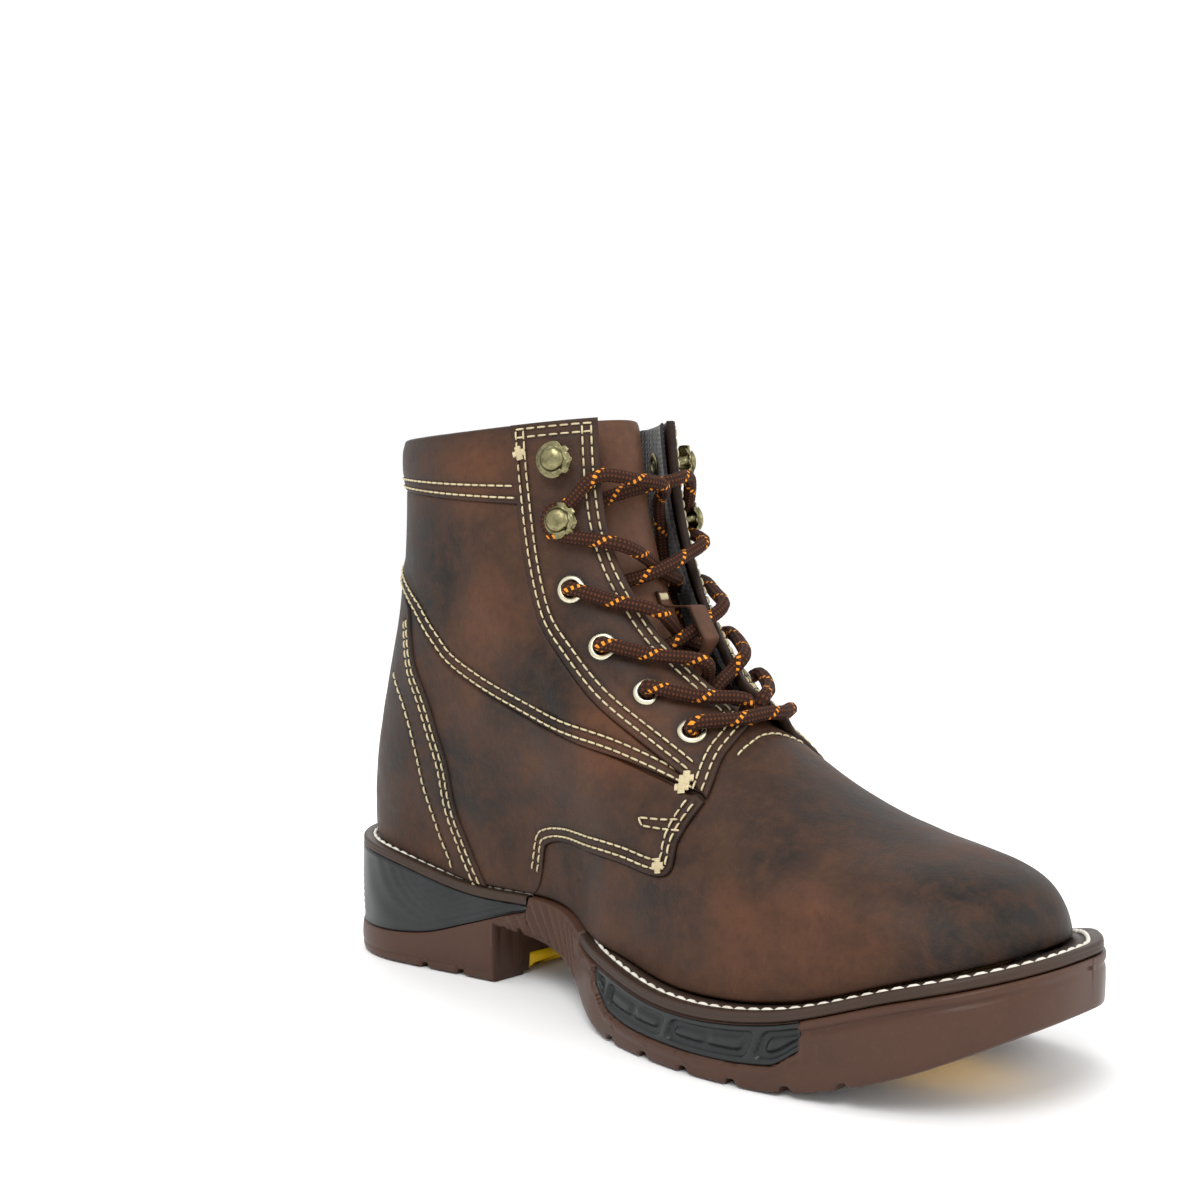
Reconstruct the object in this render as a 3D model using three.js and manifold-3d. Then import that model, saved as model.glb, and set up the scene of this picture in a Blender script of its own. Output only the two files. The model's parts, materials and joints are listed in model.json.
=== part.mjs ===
// Steel toe work boot, left foot, 6-inch lace-up with a square toe. Millimetres.
// +X points to the toe, +Y to the lateral (outer) side, +Z up. The ground is z = 0.
// The upper is one surface in two coordinates, phi and u, and every leather panel, lining
// and stiffener is a thick patch of it. phi is the angle round the foot in degrees: 0 at the
// toe and instep ridge, negative on the medial side, 180 at the heel. u runs from 0 at the
// welt to 1 at the topline. A depth is measured outwards along the surface's normal.
import * as THREE from 'three';
import { mergeVertices } from 'three/addons/utils/BufferGeometryUtils.js';
import Module from 'manifold-3d';

const wasm = await Module();
wasm.setup();

// ---------------------------------------------------------------- driving dimensions
const SOLE_LENGTH = 310;
const SOLE_WIDEN = 1.0;            // width of the whole boot against the drawn outline
const UPPER_RISE = 1.0;            // height of the upper above the welt against the drawn profile
const TREAD_DEPTH = 4.5;           // how deep the grooves between the lugs go
const WELT_THICKNESS = 3.4;
const WELT_WIDTH = 12;
const LEATHER = 2.0;
const OVERLAY_RISE = 0.6;          // how far the eyestay stands proud of the other panels
const LINING_THICKNESS = 1.2;
const CAP_WALL = 1.8;              // pressed steel of the toe cap
const CAP_LENGTH = 58;
const COUNTER_WALL = 1.8;
const COLLAR_PAD = 3.0;
const TONGUE_THICKNESS = 4.0;
const LACE_DIAMETER = 4.8;
const BOARD_THICKNESS = 2.4;
const FOOTBED_THICKNESS = 5.0;
const EYELET_BORE_RADIUS = 2.9;
const EYELET_WALL = 0.6;
const EYELET_FLANGE_RADIUS = 4.9;
const HOOK_DOME_RADIUS = 6.2;
const HOOK_STEM_RADIUS = 2.1;
const INSERT_THICKNESS = 5;
const WINDOW_DEPTH = 5;
const SEAM_GAP = 0.6;              // width of the gap where two panels butt
const GAP = 0.35;                  // clearance between pieces that touch
const LAYER_GAP = 1.05;            // clearance between faceted layers of the upper
const TOE_LAYER_GAP = 1.2;         // the same round the toe, where the facets are larger

// ---------------------------------------------------------------- curves
const HALF = SOLE_LENGTH / 2;
const STRETCH = SOLE_LENGTH / 310;
const rad = THREE.MathUtils.degToRad;
const lerp = THREE.MathUtils.lerp;
const clamp = THREE.MathUtils.clamp;

// Hermite curve through the points (xs, ys), with each slope taken from its two neighbours.
function through(xs, ys) {
  const last = xs.length - 1;
  const slopes = ys.map((_, i) => {
    const a = Math.max(i - 1, 0);
    const b = Math.min(i + 1, last);
    return (ys[b] - ys[a]) / (xs[b] - xs[a]);
  });
  return (value) => {
    const x = clamp(value, xs[0], xs[last]);
    let i = 0;
    while (i < last - 1 && x >= xs[i + 1]) i += 1;
    const h = xs[i + 1] - xs[i];
    const t = (x - xs[i]) / h;
    const t2 = t * t;
    const t3 = t2 * t;
    return (2 * t3 - 3 * t2 + 1) * ys[i] + (t3 - 2 * t2 + t) * h * slopes[i]
      + (3 * t2 - 2 * t3) * ys[i + 1] + (t3 - t2) * h * slopes[i + 1];
  };
}

function bezier(p, u) {
  const v = 1 - u;
  const w = [v * v * v, 3 * u * v * v, 3 * u * u * v, u * u * u];
  return [0, 1].map((k) => w.reduce((sum, weight, i) => sum + weight * p[i][k], 0));
}

// A superelliptic end: 0 at the tip, 1 where q reaches 1, squarer with a larger power.
function endCap(q, power) {
  const c = clamp(q, 0, 1);
  return Math.pow(1 - Math.pow(1 - c, power), 1 / power);
}

const smoothstep = (a, b, x) => THREE.MathUtils.smoothstep(x, a, b);

// ---------------------------------------------------------------- the last
const along = (x) => x / STRETCH;                       // back to the 310 mm drawing
const SIDE_X = [-155, -115, -75, -35, 5, 50, 95, 130, 155];
const medialSide = through(SIDE_X, [37.9, 35.9, 30.3, 27.0, 47.9, 56.5, 51.3, 44.8, 38.9]);
const lateralSide = through(SIDE_X, [36, 39, 39, 39, 47.1, 54.9, 52, 45.3, 19.1]);
const feather = through(
  [-155, -120, -80, -40, 0, 40, 80, 120, 155],
  [46.2, 42.9, 34.7, 33.0, 27.8, 21.8, 24.7, 37.4, 47.6],
);
const upperInset = through([-155, -100, -60, -10, 20, 155], [4.5, 4.5, 2, 3, 8, 9]);
const FRONT_PROFILE = [[143, 45.6], [143, 99.6], [-2.5, 43.3], [-12.9, 203.1]];
const BACK_PROFILE = [[-149.5, 46.2], [-154.7, 87], [-121.9, 118], [-128.6, 197.1]];
const SHAFT_HALF_WIDTH = 39;
const TOPLINE_DIP = 1.5;
const shaftShare = through([0, 0.15, 0.35, 0.6, 1], [0, 0.12, 0.62, 0.95, 1]);
const frontRadius = through([0, 0.15, 0.35, 0.6, 1], [38, 60, 92, 75, 62]);
const frontPower = through([0, 0.2, 0.5, 1], [2.8, 2.3, 2, 2]);
const backRadius = through([0, 0.3, 1], [40, 44, 56]);
const BACK_POWER = 2.1;

const soleSide = (x, side) => SOLE_WIDEN * (side < 0 ? medialSide : lateralSide)(along(x));

// Height of the welt's top, and of everything in the sole that is measured down from it.
const featherZ = (x) => feather(along(x));

// Half width of the sole's edge at x, with its square toe and round heel.
function soleEdge(x, side) {
  const toe = endCap((HALF - x) / 40, 2.8);
  const heel = endCap((x + HALF) / 42, 2.2);
  return soleSide(x, side) * toe * heel;
}

// The upper's outer surface.
function upperAt(phi, u) {
  const turn = phi > 180 ? phi - 360 : phi;
  const side = turn < 0 ? -1 : 1;
  const front = bezier(FRONT_PROFILE, u);
  const back = bezier(BACK_PROFILE, u);
  const share = (1 + Math.cos(rad(turn))) / 2;
  const fx = front[0] * STRETCH;
  const bx = back[0] * STRETCH;
  const x = lerp(bx, fx, share);
  const low = soleSide(x, side) - upperInset(along(x));
  const width = lerp(low, SHAFT_HALF_WIDTH * SOLE_WIDEN, shaftShare(u));
  const half = width
    * endCap((fx - x) / frontRadius(u), frontPower(u))
    * endCap((x - bx) / backRadius(u), BACK_POWER);
  const line = lerp(back[1], front[1], share);
  const drop = feather(along(x)) - lerp(BACK_PROFILE[0][1], FRONT_PROFILE[0][1], share);
  const dip = TOPLINE_DIP * Math.sin(Math.PI * share) * u ** 3;
  const z = line + drop * Math.max(0, 1 - u) ** 2.2 - dip;
  const base = featherZ(x);
  return new THREE.Vector3(x, side * half, base + (z - base) * UPPER_RISE);
}

function upperNormal(phi, u) {
  const e = 1.2;
  const h = 0.004;
  const a = upperAt(phi + e, u).sub(upperAt(phi - e, u));
  const b = upperAt(phi, Math.min(u + h, 1)).sub(upperAt(phi, Math.max(u - h, 0)));
  return a.cross(b).normalize();
}

const offsetAt = (phi, u, depth) => upperAt(phi, u).addScaledVector(upperNormal(phi, u), depth);

// ---------------------------------------------------------------- solids
function geometryFrom(points, triangles) {
  const geometry = new THREE.BufferGeometry();
  const flat = points.flatMap((p) => [p.x, p.y, p.z]);
  geometry.setAttribute('position', new THREE.Float32BufferAttribute(flat, 3));
  geometry.setIndex(triangles);
  return geometry;
}

// A closed solid between two grids of points, outer(i, j) and inner(i, j). With closed set,
// the last column joins the first, as in a ring.
function solidBetween(columns, rows, outer, inner, closed = false) {
  const points = [];
  const width = closed ? columns : columns + 1;
  const grids = [outer, inner].map((at) => {
    const start = points.length;
    for (let j = 0; j <= rows; j += 1) {
      for (let i = 0; i < width; i += 1) points.push(at(i / columns, j / rows));
    }
    return (i, j) => start + j * width + (closed ? i % columns : i);
  });
  const triangles = [];
  const quad = (a, b, c, d) => triangles.push(a, b, c, a, c, d);
  for (let j = 0; j < rows; j += 1) {
    for (let i = 0; i < columns; i += 1) {
      const [o, n] = grids;
      quad(o(i, j), o(i + 1, j), o(i + 1, j + 1), o(i, j + 1));
      quad(n(i, j), n(i, j + 1), n(i + 1, j + 1), n(i + 1, j));
    }
  }
  const [o, n] = grids;
  for (let i = 0; i < columns; i += 1) {
    quad(n(i, 0), n(i + 1, 0), o(i + 1, 0), o(i, 0));
    quad(o(i, rows), o(i + 1, rows), n(i + 1, rows), n(i, rows));
  }
  for (let j = 0; !closed && j < rows; j += 1) {
    quad(o(0, j), o(0, j + 1), n(0, j + 1), n(0, j));
    quad(n(columns, j), n(columns, j + 1), o(columns, j + 1), o(columns, j));
  }
  return geometryFrom(points, triangles);
}

// A patch of the upper. place(s, t) gives [phi, u]; the depths may be numbers or functions.
function patch(columns, rows, place, outerDepth, innerDepth) {
  const value = (depth, phi, u) => (typeof depth === 'function' ? depth(phi, u) : depth);
  const layer = (depth) => (s, t) => {
    const [phi, u] = place(s, t);
    return offsetAt(phi, u, value(depth, phi, u));
  };
  return solidBetween(columns, rows, layer(outerDepth), layer(innerDepth));
}

// A slab of the sole: stations along x, its two edges in y and its two faces in z.
function slab(stations, rows, lowY, highY, lowZ, highZ) {
  const columns = stations.length - 1;
  const face = (height) => (s, t) => {
    const x = stations[Math.round(s * columns)];
    const y = lerp(lowY(x), highY(x), t);
    return new THREE.Vector3(x, y, height(x, y));
  };
  return solidBetween(columns, rows, face(highZ), face(lowZ));
}

const range = (from, to, count) => Array.from(
  { length: count + 1 },
  (_, i) => lerp(from, to, i / count),
);

// Stations that crowd towards a rounded end, so that it looks round.
const easedRange = (from, to, count, power = 2) => range(0, 1, count)
  .map((t) => lerp(from, to, t ** power));

function toManifold(geometry) {
  const bare = new THREE.BufferGeometry();
  bare.setAttribute('position', geometry.getAttribute('position').clone());
  if (geometry.index) bare.setIndex(geometry.index.clone());
  const merged = mergeVertices(bare, 1e-4);
  return new wasm.Manifold(new wasm.Mesh({
    numProp: 3,
    vertProperties: new Float32Array(merged.getAttribute('position').array),
    triVerts: new Uint32Array(merged.index.array),
  }));
}

function fromManifold(solid) {
  const mesh = solid.getMesh();
  const geometry = new THREE.BufferGeometry();
  const positions = new THREE.Float32BufferAttribute(Array.from(mesh.vertProperties), 3);
  geometry.setAttribute('position', positions);
  geometry.setIndex(Array.from(mesh.triVerts));
  return geometry;
}

const SLIVER = 0.06;                // a cut's edges are simplified by up to this much

function cut(geometry, tools) {
  const solid = tools.reduce((rest, tool) => rest.subtract(toManifold(tool)), toManifold(geometry));
  return fromManifold(solid.asOriginal().simplify(SLIVER));
}

// ---------------------------------------------------------------- materials and nodes
const paint = (color, roughness, metalness = 0) => new THREE.MeshStandardMaterial(
  { color, roughness, metalness },
);
const leather = () => paint('#5a3d2c', 0.55);
const brownRubber = () => paint('#5d4035', 0.7);
const blackRubber = () => paint('#2f3030', 0.6);
const yellowRubber = () => paint('#fcd21c', 0.45);
const liningCloth = () => paint('#2a2220', 0.95);
const steel = () => paint('#9a9a98', 0.35, 0.9);
const brass = () => paint('#8f8560', 0.35, 0.9);
const paleBrass = () => paint('#cfc8b0', 0.3, 0.9);

const boot = new THREE.Group();
const assembly = new THREE.Group();
boot.add(assembly);

function node(name, geometry, material) {
  geometry.computeVertexNormals();
  const mesh = new THREE.Mesh(geometry, material);
  mesh.name = name;
  assembly.add(mesh);
  return mesh;
}

const SIDES = [['medial', -1], ['lateral', 1]];

// ---------------------------------------------------------------- sole: heights
const HEEL_BREAST_X = -66 * STRETCH;
const WEDGE_TIP_X = -50 * STRETCH;
const WELT_FRONT_START_X = -12 * STRETCH;
const treadBottom = through(
  [-66, -40, -20, -5, 8, 18, 74.5, 95, 120, 155],
  [20.5, 17, 11, 4.5, 0.8, 0, 0, 3.2, 11.8, 28.8],
);
const bottomZ = (x) => (x < HEEL_BREAST_X ? 0 : Math.max(0, treadBottom(along(x))));
const wedgeLow = through([-155, -127, -100, -78, -59, -50], [12, 11.5, 13.7, 20, 26, 28.2]);
const wedgeLowZ = (x) => wedgeLow(along(x));
const weltLowZ = (x) => featherZ(x) - GAP - WELT_THICKNESS;
const bodyTopZ = (x) => weltLowZ(x) - GAP;
const soleCentre = (x) => (soleEdge(x, 1) - soleEdge(x, -1)) / 2;
const edgeOf = (side, inset) => (x) => side * Math.max(soleEdge(x, side) - inset, 0.4);

// ---------------------------------------------------------------- outsole and its inserts
const FRONT_INSERT = { from: -6, to: 130 };
const frontInsertHalf = through(
  [-6, 10, 25, 39, 60, 80, 98, 115, 125, 130],
  [0.8, 16, 24.5, 27, 26.5, 22.5, 18.5, 13.5, 9.5, 4],
);
const heelInsertHalf = through([-124, -121, -115, -105, -66], [1.5, 6, 12, 16, 16]);
const PLATE = { from: -45, to: -22, half: 16, thickness: 1.6 };
const INSERT_RISE = 2.2;            // the inserts lie this far above the lugs' faces

function insertSlab(from, to, half, grow, lowZ, highZ, count) {
  const stations = range(from * STRETCH - grow, to * STRETCH + grow, count);
  const width = (x) => SOLE_WIDEN * half(along(clamp(x, from * STRETCH, to * STRETCH))) + grow;
  return slab(
    stations,
    2,
    (x) => soleCentre(x) - width(x),
    (x) => soleCentre(x) + width(x),
    lowZ,
    highZ,
  );
}

const insertLow = (x) => bottomZ(x) + INSERT_RISE;
const insertHigh = (x) => insertLow(x) + INSERT_THICKNESS;
const wellHigh = (x) => insertHigh(x) + GAP;
const below = (x) => bottomZ(x) - 3;
const heelLow = () => INSERT_RISE;
const heelHigh = () => INSERT_RISE + INSERT_THICKNESS;
const FRAME = 5;                    // plain rim round each insert, at the grooves' depth

function windowStrip(side, grow) {
  const low = through([4, 12, 40, 80, 91], [17, 10, 7.2, 8.5, 15]);
  return slab(
    range(4 * STRETCH - grow, 91 * STRETCH + grow, 12),
    1,
    (x) => (side < 0 ? -soleEdge(x, -1) + 0.2 - 4 * grow : soleEdge(x, 1) - WINDOW_DEPTH - grow),
    (x) => (side < 0 ? -soleEdge(x, -1) + WINDOW_DEPTH + grow : soleEdge(x, 1) - 0.2 + 4 * grow),
    (x) => low(along(x)) - grow,
    (x) => bodyTopZ(x) + (grow > 0 ? 6 : 0) - (grow > 0 ? 0 : GAP),
  );
}

// Grooves between the lugs, cut across the sole from the edge to the rim of the insert.
const FRONT_GROOVES = [14, 32, 50, 68, 86, 104];
const HEEL_GROOVES = [-82, -99];
const GROOVE_WIDTH = 3.2;
function groove(x, side, half) {
  const from = (x * STRETCH) - GROOVE_WIDTH / 2;
  const stations = [from, from + GROOVE_WIDTH];
  const rim = (px) => soleCentre(px) + side * (SOLE_WIDEN * half(along(px)) + FRAME - 1);
  const out = (px) => side * (soleEdge(px, side) + 4);
  const low = (px) => Math.min(rim(px), out(px));
  const high = (px) => Math.max(rim(px), out(px));
  return slab(stations, 1, low, high, below, (px) => bottomZ(px) + TREAD_DEPTH);
}

const HEEL_STATIONS = [
  ...easedRange(-HALF, -110 * STRETCH, 8),
  ...[-98, -88, -78, -71].map((x) => x * STRETCH),
];
const BREAST_STATIONS = [HEEL_BREAST_X - 0.02, HEEL_BREAST_X + 0.02];
const WEDGE_FRONT_STATIONS = [-60 * STRETCH, -55 * STRETCH, WEDGE_TIP_X - 1.2];

function outsole() {
  const stations = [
    ...HEEL_STATIONS,
    ...BREAST_STATIONS,
    ...WEDGE_FRONT_STATIONS,
    WEDGE_TIP_X,
    WEDGE_TIP_X + GAP,
    ...[-44, -36, -26, -18].map((x) => x * STRETCH),
    WELT_FRONT_START_X - GAP,
    WELT_FRONT_START_X,
    ...[-4, 4, 12, 20, 32, 44, 56, 68, 76, 86, 98, 110].map((x) => x * STRETCH),
    ...easedRange(HALF, 120 * STRETCH, 7).reverse(),
  ];
  const top = (x) => {
    if (x <= WEDGE_TIP_X) return wedgeLowZ(x) - GAP;
    if (x < WELT_FRONT_START_X - GAP / 2) return featherZ(x) - GAP;
    return bodyTopZ(x);
  };
  const body = slab(stations, 2, edgeOf(-1, 0), edgeOf(1, 0), bottomZ, top);
  const frontEnd = FRONT_INSERT.to;
  const tools = [
    insertSlab(FRONT_INSERT.from, frontEnd, frontInsertHalf, GAP, below, wellHigh, 14),
    insertSlab(
      FRONT_INSERT.from, frontEnd, frontInsertHalf, FRAME, below,
      (x) => bottomZ(x) + TREAD_DEPTH / 3, 14,
    ),
    heelInsert(GAP, () => -3, () => heelHigh() + GAP, 6),
    waistPlate(GAP, (x) => treadBottom(along(x)) - 3, (x) => plateLow(x) + PLATE.thickness + GAP),
    shankSlab(GAP),
    ...SIDES.map(([, side]) => windowStrip(side, GAP)),
    ...SIDES.flatMap(([, side]) => FRONT_GROOVES.map((x) => groove(x, side, frontInsertHalf))),
    ...SIDES.flatMap(([, side]) => HEEL_GROOVES.map((x) => groove(x, side, heelInsertHalf))),
  ];
  return cut(body, tools);
}

function heelInsert(grow, lowZ, highZ, open = 0) {
  const from = -124 * STRETCH - grow;
  const to = HEEL_BREAST_X - (open > 0 ? -open : GAP);
  const width = (x) => SOLE_WIDEN * heelInsertHalf(along(x)) + grow;
  const centre = (x) => soleCentre(Math.min(x, HEEL_BREAST_X));
  return slab(
    [...range(from, -105 * STRETCH, 5), -85 * STRETCH, to],
    1,
    (x) => centre(x) - width(x),
    (x) => centre(x) + width(x),
    lowZ,
    highZ,
  );
}

const SHANK = { length: 92, width: 14, thickness: 1.6, centre: -50 };
function shankSlab(grow) {
  const half = SHANK.width / 2 + grow;
  const reach = SHANK.length / 2 + grow;
  const high = (x) => featherZ(x) - GAP / 2;
  return slab(
    range(SHANK.centre * STRETCH - reach, SHANK.centre * STRETCH + reach, 10),
    1,
    () => -half,
    () => half,
    (x) => high(x) - SHANK.thickness - grow,
    (x) => high(x) + 3 * grow,
  );
}

const plateLow = (x) => treadBottom(along(x)) + 0.8;
function waistPlate(grow, lowZ, highZ) {
  const half = PLATE.half * SOLE_WIDEN + grow;
  return slab(
    range(PLATE.from * STRETCH - grow, PLATE.to * STRETCH + grow, 3),
    1,
    (x) => soleCentre(x) - half,
    (x) => soleCentre(x) + half,
    lowZ,
    highZ,
  );
}

node('outsole', outsole(), brownRubber());
node(
  'forefoot_tread_insert',
  insertSlab(FRONT_INSERT.from, FRONT_INSERT.to, frontInsertHalf, 0, insertLow, insertHigh, 14),
  yellowRubber(),
);
node('heel_tread_insert', heelInsert(0, heelLow, heelHigh), yellowRubber());
node(
  'waist_plate',
  waistPlate(0, plateLow, (x) => plateLow(x) + PLATE.thickness),
  blackRubber(),
);
for (const [name, side] of SIDES) {
  node(`midsole_window_${name}`, windowStrip(side, 0), blackRubber());
}
node(
  'heel_wedge',
  slab(
    [...HEEL_STATIONS, ...BREAST_STATIONS, ...WEDGE_FRONT_STATIONS],
    2,
    edgeOf(-1, 0.3),
    edgeOf(1, 0.3),
    wedgeLowZ,
    bodyTopZ,
  ),
  blackRubber(),
);

// ---------------------------------------------------------------- welts
// Each welt is a strip along the sole's edge, laid on the rubber and under the upper.
function welt(stations, closedEnd) {
  const count = stations.length - 1;
  const path = [];
  for (let i = 0; i <= count; i += 1) path.push([stations[i], -1]);
  for (let i = count; i >= 0; i -= 1) path.push([stations[i], 1]);
  const steps = path.length - 1;
  const at = (s, t, height) => {
    const [x, side] = path[Math.round(s * steps)];
    const edge = side * Math.max(soleEdge(x, side) - 0.4, 0.2);
    const innerX = closedEnd > 0
      ? Math.min(x, HALF - WELT_WIDTH - 2)
      : Math.max(x, -HALF + WELT_WIDTH + 2);
    const inner = side * Math.max(soleEdge(innerX, side) - WELT_WIDTH, 0.2);
    const px = lerp(innerX, x, t);
    return new THREE.Vector3(px, lerp(inner, edge, t), height(px));
  };
  const high = (x) => featherZ(x) - GAP;
  const top = (s, t) => at(s, closedEnd > 0 ? t : 1 - t, high);
  const low = (s, t) => at(s, closedEnd > 0 ? t : 1 - t, weltLowZ);
  return solidBetween(steps, 1, low, top);
}

node(
  'welt_forefoot',
  welt([
    WELT_FRONT_START_X,
    ...[-4, 4, 12, 20, 32, 44, 56, 68, 76, 86, 98, 110].map((x) => x * STRETCH),
    ...easedRange(HALF, 120 * STRETCH, 7).reverse(),
  ], 1),
  paint('#4f3f38', 0.75),
);
node(
  'welt_heel',
  welt([...HEEL_STATIONS, ...BREAST_STATIONS, ...WEDGE_FRONT_STATIONS].reverse(), -1),
  paint('#4f3f38', 0.75),
);


// ---------------------------------------------------------------- seam lines of the upper
// Each line is on the medial side and the lateral one is its mirror, with phi as a size.
const vampTop = through(
  [0, 7.5, 25.8, 37.2, 50.5, 58.9, 64.8, 69.8, 73.7, 80.7, 87, 96.5, 103.4, 107.5],
  [0.655, 0.655, 0.605, 0.548, 0.452, 0.381, 0.314, 0.231, 0.207, 0.204, 0.197, 0.174, 0.14, 0.08],
);
const WING_END = 107.5;
const facingEdge = through(
  [0.5, 0.605, 0.655, 0.7, 0.753, 0.789, 0.839, 0.873, 0.916, 1],
  [45, 25.8, 9, 9.5, 16, 22, 27, 30, 31.5, 30],
);
const eyestayRear = through(
  [0.5, 0.532, 0.592, 0.652, 0.722, 0.773, 0.826, 0.926, 1],
  [48.4, 49.4, 53.8, 59.6, 63.8, 67.2, 67.4, 66.2, 65.8],
);
const longSeam = through(
  [46.6, 52, 55.5, 66.3, 81.2, 92, 103.4, 112.3, 117.2, 126.6, 150, 180],
  [0.505, 0.468, 0.488, 0.522, 0.535, 0.562, 0.595, 0.629, 0.666, 0.716, 0.75, 0.76],
);
const COLLAR_SEAM = 0.936;
const BACK_SEAM = 124;
const BACKSTAY_HALF = 13;
const U_GAP = SEAM_GAP / 160;       // the seam gap as a share of the height
const PHI_GAP = 1.6;                // and as an angle, in degrees
const FEET = 0.004;                 // the panels' lower edge, just clear of the welt
const SHAFT_START = 50;
const mirror = (side, phi, u) => [side * phi, u];

// Stations in phi that neighbours share, so that their faceted edges stay parallel.
const SEAM_PHI = [50, 54, 58, 61, 64, 67, 70, 73.5, 78, 84, 90, 96, 102, WING_END];
const VAMP_PHI = [0, 7.5, 14, 20, 26, 32, 38, 44, ...SEAM_PHI];
const REAR_PHI = [WING_END + PHI_GAP, 116, BACK_SEAM - PHI_GAP];
const SHAFT_PHI = [...SEAM_PHI, 116, 124, 134, 145, 156, 180 - BACKSTAY_HALF - PHI_GAP];
const pick = (list, s) => list[Math.round(s * (list.length - 1))];
const ordered = (list, side) => (side < 0 ? [...list].reverse() : list);

// ---------------------------------------------------------------- leather panels
const vampPhi = [...VAMP_PHI.slice(1).map((phi) => -phi).reverse(), ...VAMP_PHI];
node('vamp', patch(
  vampPhi.length - 1,
  7,
  (s, t) => {
    const phi = pick(vampPhi, s);
    return [phi, lerp(FEET, vampTop(Math.abs(phi)) - U_GAP, t)];
  },
  0,
  -LEATHER,
), leather());

// The quarter's foot: over the vamp's wing, then down to the welt.
const quarterFoot = (phi) => (phi > WING_END ? FEET : vampTop(phi) + U_GAP);
const frontShift = (t) => eyestayRear(lerp(longSeam(SHAFT_START), COLLAR_SEAM, t)) - SHAFT_START;
function shaftPlace(phiLow, t, side) {
  const end = SHAFT_PHI[SHAFT_PHI.length - 1];
  const share = (end - phiLow) / (end - SHAFT_START);
  const u = lerp(longSeam(phiLow) + U_GAP, COLLAR_SEAM - U_GAP, t);
  return mirror(side, phiLow + share * (frontShift(t) + PHI_GAP), u);
}

for (const [name, side] of SIDES) {
  const quarterPhi = ordered([...SEAM_PHI, ...REAR_PHI], side);
  node(`quarter_${name}`, patch(
    quarterPhi.length - 1,
    4,
    (s, t) => {
      const phi = pick(quarterPhi, s);
      return mirror(side, phi, lerp(quarterFoot(phi), longSeam(phi) - U_GAP, t));
    },
    0,
    -LEATHER,
  ), leather());
  const shaftPhi = ordered(SHAFT_PHI, side);
  node(`shaft_${name}`, patch(
    shaftPhi.length - 1,
    6,
    (s, t) => shaftPlace(pick(shaftPhi, s), t, side),
    0,
    -LEATHER,
  ), leather());
  node(`collar_${name}`, patch(
    shaftPhi.length - 1,
    2,
    (s, t) => {
      const [phi] = shaftPlace(Math.abs(pick(shaftPhi, s)), 1, side);
      return [phi, lerp(COLLAR_SEAM, 1, t)];
    },
    0,
    -LEATHER,
  ), leather());
}

node('heel_foxing', patch(
  16,
  7,
  (s, t) => {
    const phi = lerp(BACK_SEAM, 360 - BACK_SEAM, s);
    return [phi, lerp(0.004, longSeam(Math.min(phi, 360 - phi)) - U_GAP, t)];
  },
  0,
  -LEATHER,
), leather());
node('backstay', patch(
  4,
  6,
  (s, t) => [lerp(180 - BACKSTAY_HALF, 180 + BACKSTAY_HALF, s), lerp(longSeam(180), 1, t)],
  0,
  -LEATHER,
), leather());


// ---------------------------------------------------------------- eyestays, eyelets, hooks
// Places are [phi, u] on the medial side, from the throat upwards.
const EYELETS = [[33.2, 0.635], [39.2, 0.699], [47.1, 0.763], [51.5, 0.836]];
const HOOKS = [[49, 0.91], [48, 0.967]];
const STEM_FOOT_RADIUS = 1.5;
const LINING_FACE = -LEATHER - LAYER_GAP;              // the lining's outer face in the facings
const LINING_BACK = LINING_FACE - LINING_THICKNESS;

// Turns a solid made about the Z axis so that it stands on the upper, facing outwards.
function stand(geometry, phi, u, depth = 0) {
  const normal = upperNormal(phi, u);
  const turn = new THREE.Quaternion().setFromUnitVectors(new THREE.Vector3(0, 0, 1), normal);
  geometry.applyQuaternion(turn);
  const place = upperAt(phi, u).addScaledVector(normal, depth);
  return geometry.translate(place.x, place.y, place.z);
}

// A lathe about Z from [radius, height] pairs.
function turned(profile, sides = 8) {
  const points = profile.map(([r, z]) => new THREE.Vector2(r, z));
  return new THREE.LatheGeometry(points, sides).rotateX(Math.PI / 2);
}

const punch = (radius) => turned([[0, -9], [radius, -9], [radius, 5], [0, 5], [0, -9]]);
const EYELET_HOLE = EYELET_BORE_RADIUS + EYELET_WALL + GAP;
const STEM_HOLE = STEM_FOOT_RADIUS + GAP;
const punches = (side) => [
  ...EYELETS.map(([phi, u]) => stand(punch(EYELET_HOLE), side * phi, u)),
  ...HOOKS.map(([phi, u]) => stand(punch(STEM_HOLE), side * phi, u)),
];

// The throat's lower edge is spanned by straight lines, so the front one stops turning there.
const THROAT_U = 0.655;
const eyestayLine = (u, q) => lerp(facingEdge(Math.max(u, THROAT_U)), eyestayRear(u), q);
function eyestayPlace(q, t, side) {
  let low = 0.6;
  for (let i = 0; i < 60; i += 1) low = (low + vampTop(eyestayLine(low, q)) + U_GAP) / 2;
  const u = lerp(low, 1, t);
  return mirror(side, eyestayLine(u, q), u);
}

const EYELET_TOP = OVERLAY_RISE + GAP;
const EYELET_FOOT = LINING_BACK - 0.4;
const HOOK_UNDERSIDE = EYELET_TOP + 0.7 + LACE_DIAMETER + 1.0;

function eyelet() {
  const bore = EYELET_BORE_RADIUS;
  const barrel = bore + EYELET_WALL;
  return turned([
    [bore, EYELET_FOOT],
    [barrel, EYELET_FOOT],
    [barrel, EYELET_TOP],
    [EYELET_FLANGE_RADIUS, EYELET_TOP],
    [EYELET_FLANGE_RADIUS - 0.3, EYELET_TOP + 0.6],
    [barrel, EYELET_TOP + 0.9],
    [bore, EYELET_TOP + 0.5],
    [bore, EYELET_FOOT],
  ]);
}

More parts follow.
